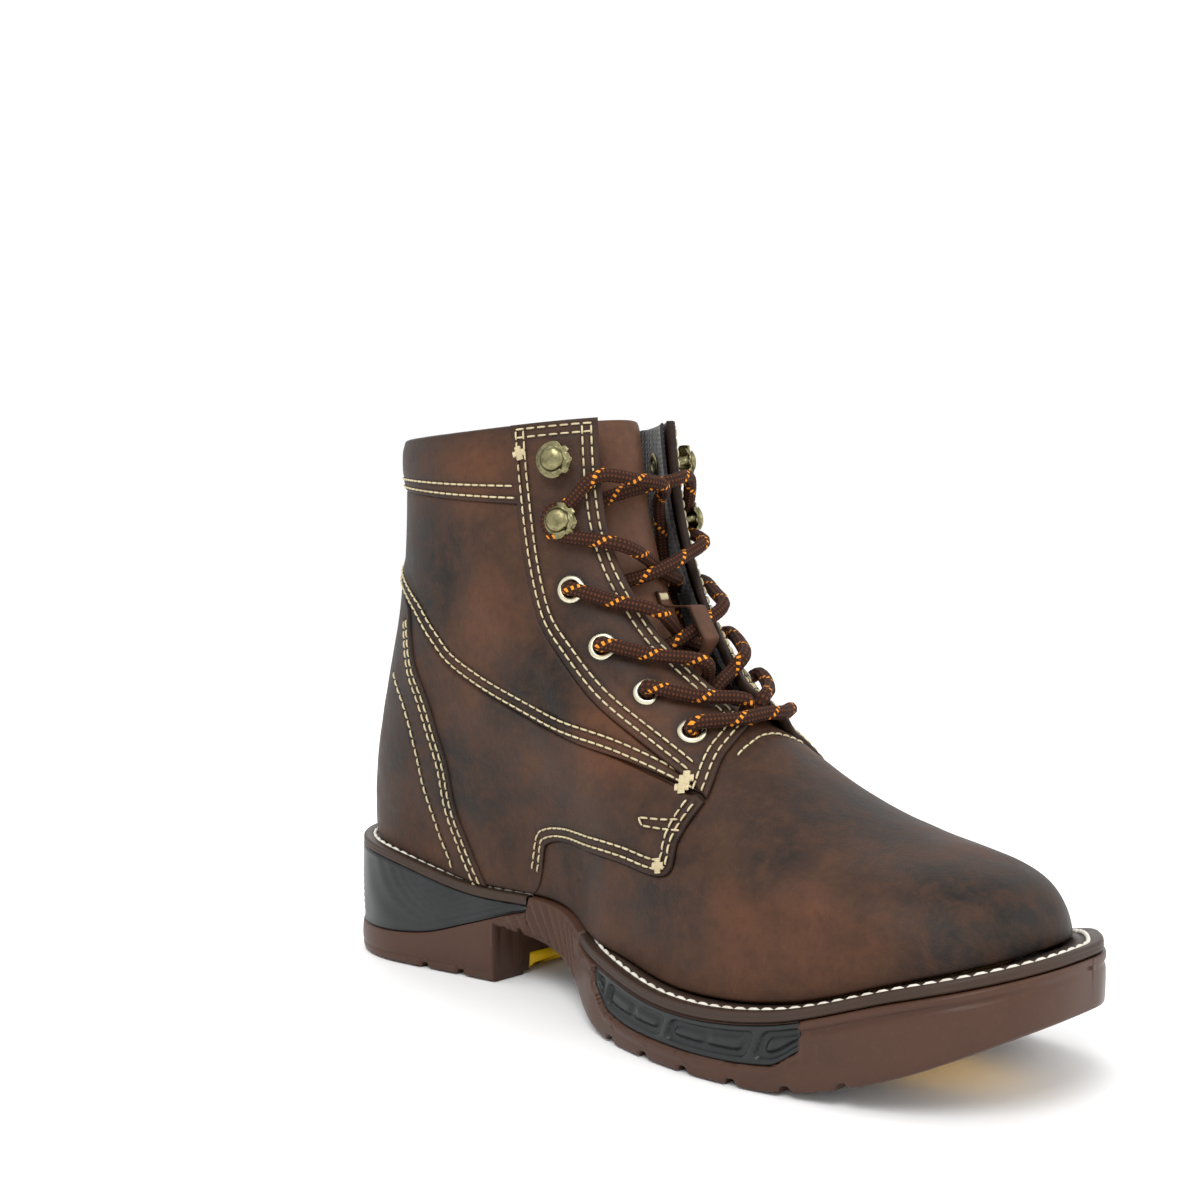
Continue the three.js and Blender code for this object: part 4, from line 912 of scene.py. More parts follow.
THROAT_U = 0.655                      # the height below which the facing's edge stays put


def eyestay_line(u, q):
    """The share q of the way from the facing's edge to the eyestay's rear edge."""
    return lerp(facing_edge(np.maximum(u, THROAT_U)), eyestay_rear(u), q)


def eyestay_place(s, t):
    """Straight lines from the vamp's top edge, found by halving the step to it, to the topline."""
    low = np.full(np.shape(s), 0.6)
    for _ in range(60):
        low = (low + vamp_top(eyestay_line(low, s))) / 2
    u = lerp(low, 1, t)
    return eyestay_line(u, s), u


def foxing_place(s, t):
    """Round the heel from edge to edge, from the welt up to the long seam."""
    u = t * (long_seam(180 - np.abs(2 * s - 1) * 56) + UNDERLAP * 0.3)
    half = 180 - foxing_edge(u)
    return 180 + lerp(-half, half, s), u


def make_upper():
    """Every leather panel of the upper, then the thread that sews them."""
    rows = {side: side_rows(side) for _, side in SIDES}
    throat = [Row(line(-24, 24, 60), through([-24, -18, -7.5, 0, 7.5, 18, 24],
                                             [0.597, 0.615, 0.635, 0.639, 0.635, 0.615, 0.597])(
        line(-24, 24, 60)), vamp_depth)]

    def vamp_place(s, t):
        """From the welt to a little above the vamp's top edge, both sides and the toe at once."""
        phi = lerp(-110, 110, s)
        return phi, lerp(0.002, vamp_top(np.abs(phi)) + UNDERLAP, t)

    panel("vamp_leather", ["vamp"], vamp_place, (330, 90), vamp_depth, throat, counts=(330, 100),
          fold=0.5)
    sewn = list(throat)
    for name, side in SIDES:
        mine = rows[side]
        centres = [upper(side * phi, u) for phi, u in EYELETS]
        panel(f"quarter_{name}_leather", [f"quarter_{name}"], ordered(side, quarter_place),
              (90, 60), quarter_depth, mine["quarter"] + mine["shaft"], counts=(120, 75), fold=0.4)
        panel(f"shaft_{name}_leather", [f"shaft_{name}"], ordered(side, shaft_place), (110, 70),
              shaft_depth, mine["shaft"] + mine["eyestay"][::3], counts=(150, 95), fold=0.8)
        panel(f"collar_{name}_leather", [f"collar_{name}"], ordered(side, collar_place), (100, 12),
              collar_depth, mine["collar"], thickness=3.6, counts=(150, 14))
        panel(f"eyestay_{name}_leather", [f"eyestay_{name}"], ordered(side, eyestay_place),
              (30, 75), eyestay_depth, mine["eyestay"], thickness=3.1, counts=(46, 110),
              fold=0.8, holes=centres)
        for key in ("quarter", "shaft", "eyestay", "foxing", "collar"):
            sewn += mine[key]
    panel("heel_foxing_leather", ["heel_foxing"], foxing_place, (130, 110), foxing_depth,
          rows[-1]["foxing"] + rows[1]["foxing"], counts=(170, 110))
    stay_u = line(0.775, 0.995, 60)
    stay_rows = [
        Row(0 * stay_u + 180 + edge, stay_u, backstay_depth) for edge in (-10.5, -7.2, 7.2, 10.5)
    ]
    panel("backstay_leather", ["backstay"],
          lambda s, t: (lerp(180 - BACKSTAY_HALF, 180 + BACKSTAY_HALF, s), lerp(0.752, 1, t)),
          (18, 40), backstay_depth, stay_rows, thickness=4.1, counts=(26, 60))
    sewn += stay_rows
    sew("upper_stitching", sewn)


TACK_THREADS = 9
TACK_THREAD_LENGTH = 2.4
TACK_THREAD_RADIUS = 0.34
TACK_HALF_BAR = 2.1


def bar_tacks():
    """Two short crossed bars of dense thread at each corner where seams meet."""
    centres, along, normals = [], [], []
    spots = [
        (float(eyestay_rear(0.975)) - 3.2, 0.975, eyestay_depth), (48.6, 0.513, eyestay_depth),
        (52.4, 0.484, shaft_depth), (71.5, 0.238, quarter_depth),
    ]
    for (_, side), (phi, u, depth), heading in itertools.product(SIDES, spots, (15, 105)):
        base, normal = upper(side * phi, u), upper_normal(side * phi, u)
        level = unit(upper(side * phi + 1, u) - base)
        turn = math.radians(heading)
        way = level * math.cos(turn) + np.cross(normal, level) * math.sin(turn)
        spread = np.linspace(-TACK_HALF_BAR, TACK_HALF_BAR, TACK_THREADS)[:, None]
        lift = float(depth(np.array(side * phi), np.array(u))) + 0.3 + heading / 400
        centres.append(base + normal * lift + way * spread)
        along.append(np.repeat(unit(np.cross(normal, way))[None], TACK_THREADS, 0))
        normals.append(np.repeat(normal[None], TACK_THREADS, 0))
    points, faces = capsules(*map(np.concatenate, (centres, along, normals)),
                             TACK_THREAD_LENGTH, TACK_THREAD_RADIUS)
    to_mesh("bar_tacks", points, faces, THREAD)


# ------------------------------------------------------------------ eyelets, hooks and tongue
EYELET_TOP = 0.95                     # heights above the upper's face
HOOK_UNDERSIDE = 7.45
LACE_RADIUS = 2.4


def lathe(name, nodes, profile, phi, u, material, sides=36, squash=None):
    """A profile of [radius, height] turned about the upper's normal at (phi, u)."""
    profile = np.array(profile, float)
    angle = np.arange(sides) * 2 * math.pi / sides
    radius = np.repeat(profile[:, :1], sides, 1)
    height = np.repeat(profile[:, 1:], sides, 1)
    if squash:
        radius, height = squash(radius, height, angle[None])
    normal = upper_normal(phi, u)
    level = unit(upper(phi + 1, u) - upper(phi, u))
    level = unit(level - normal * (level @ normal)) * (-1 if phi > 0 else 1)
    up = np.cross(normal, level)
    points = (
        upper(phi, u) + normal * height[..., None]
        + (level * np.cos(angle)[:, None])[None] * radius[..., None]
        + (up * np.sin(angle)[:, None])[None] * radius[..., None]
    )
    faces = grid_faces(len(profile), sides, close_columns=True, close_rows=True)
    thing = to_mesh(name, points, faces, material, weld=True)
    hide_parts(*nodes)


def hook_comb(radius, height, angle):
    """The dome curves down behind the stem, and its open front is bent down and cut into short
    teeth by a square wave round the rim."""
    toward = np.cos(angle)
    front = smoothstep(0.25, 0.6, toward)
    outer = smoothstep(3.6, 6.0, radius)
    dome = height > 6
    teeth = 0.5 + 0.5 * np.sign(np.sin(angle * 9 + math.pi / 2))
    bend = front * outer * dome
    hood = smoothstep(0.35, -0.4, toward) * outer * dome
    radius = radius + bend * (0.15 * teeth - 0.95 * (1 - teeth)) + 0.2 * hood
    return radius, height - bend * (0.7 + teeth) - hood * 2.2


def make_fittings():
    """Eyelets, hooks and hook washers: each a profile turned about the leather's normal."""
    foot, wall = -4.65, 0.6
    bore, flange = 2.9, 4.9
    rolled = [
        [bore, foot], [bore + wall, foot], [bore + wall, EYELET_TOP - 0.2],
        [flange - 0.4, EYELET_TOP - 0.3], [flange, EYELET_TOP - 0.05],
        [flange - 0.05, EYELET_TOP + 0.3], [flange - 0.5, EYELET_TOP + 0.65],
        [flange - 1.1, EYELET_TOP + 0.85], [bore + 0.5, EYELET_TOP + 0.85],
        [bore + 0.15, EYELET_TOP + 0.6], [bore, EYELET_TOP + 0.2],
    ]
    rim = [3.6, 4.6, 5.4, 5.9, 6.2]
    hook_profile = (
        [[0, -5.8], [1.5, -5.8], [1.5, 0.9], [4.2, 0.95], [4.7, 1.1], [4.8, 1.4], [4.5, 1.7],
         [3.0, 1.9], [2.3, 2.6], [2.1, 4.0], [2.15, 5.6], [2.6, 6.9], [3.0, 7.3]]
        + [[r, 7.45 - 0.02 * r] for r in rim]
        + [[r, 8.2 - 0.02 * r] for r in rim[::-1]]
        + [[4.3, 9.0], [3.2, 9.6], [1.9, 9.95], [0, 10.1]]
    )
    ring = [[1.9, -6.1], [4, -6.1], [4.1, -5.7], [4, -5.35], [1.9, -5.35]]
    for name, side in SIDES:
        for i, (phi, u) in enumerate(EYELETS, 1):
            lathe(f"eyelet_{name}_{i}_rolled", [f"eyelet_{name}_{i}"], rolled, side * phi, u,
                  EYELET_METAL)
        for i, (phi, u) in enumerate(HOOKS, 1):
            lathe(f"hook_{name}_{i}_formed", [f"hook_{name}_{i}"], hook_profile, side * phi, u,
                  HOOK_METAL, 66, hook_comb)
            lathe(f"hook_washer_{name}_{i}_turned", [f"hook_washer_{name}_{i}"], ring, side * phi,
                  u, HOOK_METAL, 24)


TONGUE_DEPTH = 10.7                   # how far the tongue lies inside the upper's face
tongue_half = through([0.6, 0.64, 0.68, 0.72, 0.78, 1.03], [7, 9, 16, 26, 38, 38])


def tongue_face(u):
    """The depth of the tongue's outer face: the vamp's underside, then down under the lace."""
    return lerp(-3.05, -TONGUE_DEPTH, smoothstep(0.597, 0.645, u))


def make_tongue():
    """A padded tongue: a flat tube whose faces crown between its edges, softly quilted, and
    whose wall closes on itself round the edge."""
    columns = np.sin(np.linspace(-math.pi / 2, math.pi / 2, 70))
    t = edge_samples(120, 100)
    s, t = np.meshgrid(columns, t)
    u = lerp(0.6, 1.0, t)
    phi = s * tongue_half(u)
    base, normal = upper(phi, u), upper_normal(phi, u)
    thick = lerp(1.6, 4.0, smoothstep(0.6, 0.65, u))
    round_edge = np.sqrt(np.maximum(1 - np.abs(s) ** 5, 0)) * np.sqrt(
        np.maximum(1 - np.maximum(t - 0.955, 0) ** 2 / 0.045**2, 0.0))
    round_edge = np.maximum(round_edge, 0.02)
    quilt = 0.35 * np.cos(s * math.pi * 1.5) * smoothstep(0.64, 0.7, u)
    middle = tongue_face(u) - thick / 2 + 0.1
    swell = 0.35 * noise3(base, 18, 9) + 0.12 * noise3(base, 6, 10)
    outer = base + normal * (middle + (thick / 2 + quilt - 0.2 + swell) * round_edge)[..., None]
    inner = base + normal * (middle - (thick / 2 + 0.1) * round_edge)[..., None]
    points, faces = shell(outer, inner)
    thing = to_mesh("tongue_padded_leather", points, faces, SOFT, body="tongue_flap")
    set_tones(thing, points, np.zeros(len(points)))
    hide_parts("tongue")

    keeper_low, keeper_high, keeper_half, arch = 0.745, 0.855, 5.0, 13.4
    s, t = np.meshgrid(edge_samples(18, 9, (0, 0.15, 0.4, 0.8)),
                       edge_samples(90, 34, (0, 0.15, 0.4, 0.8)))
    u = lerp(keeper_low, keeper_high, t)
    phi = lerp(-keeper_half, keeper_half, s)
    base, normal = upper(phi, u), upper_normal(phi, u)
    rise = smoothstep(keeper_low + 0.012, keeper_low + 0.036, u) - smoothstep(
        keeper_high - 0.036, keeper_high - 0.012, u)
    border = np.minimum.reduce(grid_distances(base))
    drop = 0.5 * (1 - np.sqrt(1 - (1 - np.clip(border / 0.5, 0, 1)) ** 2))
    depth = -TONGUE_DEPTH + 0.6 + arch * rise
    outer = base + normal * (depth + 1.5 - drop + 0.15 * noise3(base, 5, 11))[..., None]
    inner = base + normal * depth[..., None]
    points, faces = shell(outer, inner)
    thing = to_mesh("lace_keeper_strap", points, faces, SOFT, body="tongue_flap")
    # Painted shade along the keeper strap's cut edge, and none on its inner face.
    seam = np.concatenate([0.8 * np.exp(-border / 1.0).ravel(), np.zeros(border.size)])
    set_tones(thing, points, seam)
    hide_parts("lace_keeper")
    centres, along, normals = [], [], []
    for place_u in (keeper_low + 0.006, keeper_high - 0.006):
        phis = np.linspace(-3.8, 3.8, 12)
        n = upper_normal(phis, place_u)
        spots = upper(phis, place_u) + n * (-TONGUE_DEPTH + 0.6 + 1.55)
        centres.append(spots)
        normals.append(n)
        along.append(unit(upper(phis, place_u + 0.004) - upper(phis, place_u)))
    points, faces = capsules(*map(np.concatenate, (centres, along, normals)), 2.6, 0.33)
    to_mesh("keeper_bar_tacks", points, faces, THREAD, body="tongue_flap")


# ------------------------------------------------------------------ linings and padding
CAP_REAR_X = 85.0
lining_front = through(
    [0, 0.2, 0.3, 0.4, 0.5, 0.56, 0.61, 0.66, 0.7, 0.753, 0.789, 0.839, 0.873, 0.916, 1],
    [76, 72, 66, 58, 47, 40, 29, 14, 14, 18, 24, 29, 32, 33.5, 32],
)
lining_seam = through([0, 0.2, 0.3, 0.4, 0.5, 0.56], [76, 72, 66, 58, 47, 40])


def lining_face(phi, u):
    """The lining's outer depth: stepping in to clear the toe cap, the counter and the padding."""
    turn = turned_phi(phi)
    x = upper(phi, u)[..., 0]
    cap = smoothstep(CAP_REAR_X - 29, CAP_REAR_X - 15, x) * 4.2
    counter = smoothstep(104, 118, turn) * (1 - smoothstep(0.45, 0.54, u)) * 2.85
    pad = smoothstep(57, 69, turn) * smoothstep(0.86, 0.9, u) * 4.05
    return -3.05 - np.maximum.reduce([cap, counter, pad])


def lining(name, nodes, place, counts, span):
    """Knitted mesh lining, 1.2 mm thick, with the soft hollows of the foam behind it."""
    s, t = np.meshgrid(edge_samples(counts[0], span[0], (0, 0.3, 0.7)),
                       edge_samples(counts[1], span[1], (0, 0.3, 0.7)))
    phi, u = place(s, t)
    base, normal = upper(phi, u), upper_normal(phi, u)
    face = lining_face(phi, u)
    border = np.minimum.reduce(grid_distances(base))
    inner = base + normal * (face - 1.2 + 0.5 * (1 - np.clip(border / 0.6, 0, 1)) ** 2
                             - 0.15 - 0.15 * noise3(base, 9, 12))[..., None]
    points, faces = shell(base + normal * face[..., None], inner)
    thing = to_mesh(name, points, faces, LINING)
    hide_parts(*nodes)


def make_linings():
    """The two mesh linings and the collar's foam, a lens that fades at both its ends."""
    def quarter_lining_place(s, t):
        """Round the heel; phi is stretched so that the front edge follows lining_front."""
        u = lerp(0.02, 0.999, t)
        phi = lerp(78, 282, s)
        return phi + (180 - phi) / 102 * (lining_front(u) - 78), u

    def vamp_lining_place(s, t):
        """Round the toe, as wide as the seam with the quarter lining lets it be."""
        u = lerp(0.02, 0.53, t)
        half = lining_seam(u) - 1.5
        return lerp(-half, half, s), u

    lining("quarter_lining_mesh", ["quarter_lining"], quarter_lining_place, (180, 100), (260, 150))
    lining("vamp_lining_mesh", ["vamp_lining"], vamp_lining_place, (110, 50), (200, 80))
    s, t = np.meshgrid(np.linspace(77, 283, 120), np.linspace(-math.pi / 2, math.pi / 2, 14))
    u = 0.9525 + 0.0325 * np.sin(t)
    base, normal = upper(s, u), upper_normal(s, u)
    fill = np.cos(t) ** 0.6 * np.minimum(1, np.minimum(s - 77, 283 - s) / 6 + 0.03) ** 0.5
    middle = -3.05 - 1.5
    points, faces = shell(base + normal * (middle + 1.45 * fill + 0.02)[..., None],
                          base + normal * (middle - 1.45 * fill - 0.02)[..., None])
    thing = to_mesh("collar_foam_pad", points, faces, FOAM)
    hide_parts("collar_padding")


# ------------------------------------------------------------------ the sole
HEEL_BREAST_X = -66.0
WEDGE_TIP_X = -50.0
WELT_FRONT_X = -12.0
GAP = 0.35                            # the clearance between seated pieces
WELT_THICK = 3.4
tread_low = through(
    [-66, -40, -20, -5, 8, 18, 74.5, 95, 120, 155],
    [20.5, 17, 11, 4.5, 0.8, 0, 0, 3.2, 11.8, 28.8],
)
wedge_low = through([-155, -127, -100, -78, -59, -50], [12, 11.5, 13.7, 20, 26, 28.2])
insert_half = through(
    [-6, 10, 25, 39, 60, 80, 98, 115, 125, 130],
    [0.8, 16, 24.5, 27, 26.5, 22.5, 18.5, 13.5, 9.5, 4],
)
heel_half = through([-124, -121, -115, -105, -66], [1.5, 6, 12, 16, 16])
window_low = through([4, 12, 40, 80, 91], [17, 10, 7.2, 8.5, 15])
WINDOW_FROM, WINDOW_TO = 4.0, 91.0


def bottom_z(x):
    """The ground face: flat under the heel, and the tread's own curve in front of it."""
    return np.where(x < HEEL_BREAST_X, 0.0, np.maximum(0, tread_low(x)))


def welt_low(x):
    """The welt's underside: its top, less the gap and its thickness."""
    return feather(x) - GAP - WELT_THICK


def body_top(x):
    """The top of what lies under the welt, a gap below it."""
    return welt_low(x) - GAP


def centre_y(x):
    """Midway between the sole's two edges."""
    return (sole_edge(x, 1) - sole_edge(x, -1)) / 2


def pulse(value, period, width, soft=0.5):
    """Grooves of a width at every period: 1 in the groove, 0 between, with sloping walls."""
    away = np.abs((value / period - np.round(value / period)) * period)
    return smoothstep(width / 2 + soft / 2, width / 2 - soft / 2, away)


def band(value, low, high, soft=0.5):
    """1 between low and high, falling to 0 within soft of either."""
    return smoothstep(low - soft, low, value) * smoothstep(high + soft, high, value)


def lug_slits(along, across):
    """Square-cornered key slits in one lug: along 0..1 is its length, across runs from its
    inner side 0 to its outer side 1, and alternate slits open to alternate sides."""
    inner = band(along, 0.27, 0.36, 0.03) * smoothstep(0.74, 0.7, across)
    outer = band(along, 0.63, 0.72, 0.03) * smoothstep(0.26, 0.3, across)
    link = band(across, 0.47, 0.53, 0.02) * band(along, 0.3, 0.7, 0.03)
    return np.maximum(np.maximum(inner, outer), link)


FRONT_GROOVES = np.array([14, 32, 50, 68, 86, 104.0])
HEEL_GROOVES = np.array([-99, -82.0])


def tread_recess(x, y):
    """How far the tread is cut up from its ground face: lugs with key slits and an inner column
    of blocks at the forefoot, arcs round the toe and the heel, and ribs at the waist."""
    side = np.where(y < centre_y(x), -1.0, 1.0)
    away = np.abs(y - centre_y(x))
    edge = np.maximum(sole_edge(x, 1) + sole_edge(x, -1), 1e-3) / 2
    to_edge = edge - away

    in_insert = away - insert_half(x)
    rim = 5.0
    groove = np.max([band(x, g - 1.5, g + 1.5, 0.8) for g in FRONT_GROOVES], axis=0)
    cell = np.clip(np.searchsorted(FRONT_GROOVES, x), 1, 5)
    start, end = FRONT_GROOVES[cell - 1] + 1.6, FRONT_GROOVES[cell] - 1.6
    along = (x - start) / (end - start)
    along = np.where(side < 0, along, 1 - along)
    outside = np.clip((in_insert - rim - 7.5) / np.maximum(edge - insert_half(x) - rim - 7.5, 1),
                      0, 1)
    small = band(in_insert - rim, 0.4, 5.6, 0.4) * pulse(x, 5.6, 1.7)
    between = band(in_insert - rim, 6.1, 7.3, 0.5)
    front_lugs = np.maximum(groove * 4.2, lug_slits(along, outside) * 2.6 * (outside > 0.01))
    front_lugs = np.maximum(front_lugs, np.maximum(small * 2.4, between * 3.0))
    front_lugs = np.where(to_edge < 1.6, np.minimum(groove * 1.9, front_lugs), front_lugs)
    ring = np.hypot((x - 100) * 0.92, y - centre_y(x)) - 12
    toe_arcs = pulse(ring, 5.9, 1.9) * 2.6 * (to_edge > 1.8)
    front = lerp(front_lugs, toe_arcs, smoothstep(105.5, 106.5, x))
    well = (x > -6) & (x < 130) & (in_insert < 0)
    frame = (x > -8) & (x < 132) & (in_insert >= 0) & (in_insert < rim)
    front = np.where(frame, 1.5, front)
    front = np.where(well, 7.5, front)

    fan = np.hypot(x + 40, (away - 6) * 1.1)
    ribs = pulse(fan, 4.6, 1.6) * band(away, 19, 33, 0.6) * 1.8
    cross = pulse(x + y * 0.5, 3.2, 1.1) * pulse(x - y * 0.5, 3.2, 1.1)
    patches = 0.9 * cross * band(away, 2, 17, 0.6) * (x > -20)
    waist = np.maximum(ribs, patches)
    plate = band(x, -45.2, -21.8, 0.4) * (away < 16.3)
    waist = np.maximum(waist, plate * 2.7)
    trench = smoothstep(-3, -9, x) * band(away, 17.2, 18.4, 0.4) * 1.6
    waist = np.maximum(waist, trench * (x > -60))

    heel_groove = np.max([band(x, g - 1.5, g + 1.5, 0.8) for g in HEEL_GROOVES], axis=0)
    heel_start = np.where(x < -99, -116.0, np.where(x < -82, -97.4, -80.4))
    heel_along = np.clip((x - heel_start) / 14.5, 0, 1)
    heel_out = np.clip((away - heel_half(x) - rim) / np.maximum(edge - heel_half(x) - rim, 1), 0, 1)
    heel_lugs = np.maximum(heel_groove * 4.2,
                           lug_slits(heel_along, heel_out) * 2.4 * (heel_out > 0.01))
    rear = np.hypot(x + 108, y - centre_y(x)) - 14
    rear_arcs = pulse(rear, 4.6, 1.6) * 2.4 * (to_edge > 1.8)
    heel = lerp(rear_arcs, heel_lugs, smoothstep(-117, -116, x))
    heel = np.where(to_edge < 1.6, np.minimum(heel_groove * 1.9, heel), heel)
    heel_in = away - heel_half(x)
    heel = np.where((x > -126) & (heel_in >= 0) & (heel_in < rim - 2), 1.3, heel)
    heel = np.where((x > -124) & (heel_in < 0), 7.6, heel)

    cut = np.where(x < HEEL_BREAST_X, heel, np.where(x < -6, waist, front))
    return np.where(to_edge < 0.3, np.minimum(cut, 2.6), cut)


def ring_solid(name, nodes, stations, edges, low, high, material, across=90, up=12, top=10,
               wall=None, body="boot"):
    """A slab built of closed rings, one per station along x: its underside, its lateral wall,
    its top and its medial wall. wall(x, z) moves both walls outwards."""
    x = np.asarray(stations, float)[:, None]
    w = np.linspace(-1, 1, across)[None]
    left, right = edges(x, -1), edges(x, 1)
    y_low = lerp(left, right, (w + 1) / 2)
    x_low = x + 0 * w
    z_low = low(x_low, y_low)
    w_top = np.linspace(1, -1, top)[None]
    y_top = lerp(left, right, (w_top + 1) / 2)
    z_top = high(x + 0 * w_top, y_top)
    v = np.linspace(0, 1, up + 2)[None, 1:-1]
    right_z = lerp(z_low[:, -1:], z_top[:, :1], v)
    left_z = lerp(z_low[:, :1], z_top[:, -1:], 1 - v)
    out_right = wall(x + 0 * v, right_z) if wall else 0 * v
    out_left = wall(x + 0 * v, left_z) if wall else 0 * v
    keep = np.minimum((right - left) / 8, 1)
    y_right = right + out_right * keep
    y_left = left - out_left * keep
    ring_x = np.concatenate([x_low, x + 0 * v, x + 0 * w_top, x + 0 * v], 1)
    ring_y = np.concatenate([y_low, y_right, y_top, y_left], 1)
    ring_z = np.concatenate([z_low, right_z, z_top, left_z], 1)
    rings = np.stack([ring_x, ring_y, ring_z], -1)
    rows, columns = rings.shape[:2]
    points = rings.reshape(-1, 3)
    caps, extra = [], []
    for row, flip in ((0, False), (rows - 1, True)):
        ring = np.arange(columns) + row * columns
        middle = len(points) + len(extra)
        extra.append(rings[row].mean(0))
        after = np.roll(ring, -1)
        fan = np.stack([ring, after, np.full(columns, middle)], -1)
        caps.append(fan if flip else fan[:, ::-1])
    points = np.concatenate([points, np.array(extra)])
    sides = grid_faces(rows, columns, close_columns=True)
    thing = to_mesh(name, points, [sides, np.concatenate(caps)], material, body=body)
    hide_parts(*nodes)


def sole_edges(inset=0.0):
    """edges(x, side) of the sole, drawn in by an inset."""
    def edges(x, side):
        return side * np.maximum(sole_edge(x, side) - inset, 0.4)
    return edges


def stations_between(start, end, step, round_start=0.0, round_end=0.0):
    """Stations at a step, closing up quadratically over a rounded start or end."""
    a, b = start + round_start, end - round_end
    parts = []
    if round_start:
        parts.append(start + round_start * np.linspace(0, 1, int(round_start / step * 1.8)) ** 2)
    parts.append(np.linspace(a, b, int((b - a) / step) + 1))
    if round_end:
        parts.append(end - round_end * np.linspace(1, 0, int(round_end / step * 1.8)) ** 2)
    return np.unique(np.round(np.concatenate(parts), 4))


def outsole_wall(x, z):
    """How far the outsole's side stands out: a soft belly, a ledge and a groove under the welt,
    slanted ribs at the waist, a drawn-in lower edge, a line round the heel, and the window's
    recess with its raised frame at the ball of the foot."""
    top = np.where(x < WEDGE_TIP_X, wedge_low(x), np.where(x < WELT_FRONT_X, feather(x),
                                                          body_top(x)))
    low = bottom_z(x)
    share = np.clip((z - low) / np.maximum(top - low, 1), 0, 1)
    belly = 0.7 * np.sin(math.pi * share) ** 0.7
    groove = -1.1 * np.exp(-(((top - z - 3.4) / 0.8) ** 2)) * smoothstep(-10, -4, x)
    groove = groove + 0.6 * smoothstep(2.7, 2.2, top - z) * smoothstep(-10, -4, x)
    ribs = 0.9 * (1 - pulse(x + 0.55 * z, 4.6, 1.7, 1.0)) * band(x, -58, -16, 2.5)
    ribs = ribs * band(share, 0.16, 0.86, 0.08)
    round_low = -1.0 * np.exp(-(((z - low) / 0.9) ** 2))
    lip = band(x, WINDOW_FROM + 0.4, WINDOW_TO - 0.4, 0.8) * smoothstep(
        window_low(x) - 0.4, window_low(x) + 0.3, z)
    frame = 0.5 * band(x, WINDOW_FROM - 2.4, WINDOW_TO + 2.4, 0.8) * smoothstep(
        window_low(x) - 3.2, window_low(x) - 2.4, z)
    heel_line = -0.6 * np.exp(-(((z - 3.4) / 0.6) ** 2)) * smoothstep(-64, -70, x)
    outward = belly + groove + ribs + round_low + frame + heel_line
    return lerp(outward, -4.9, lip)


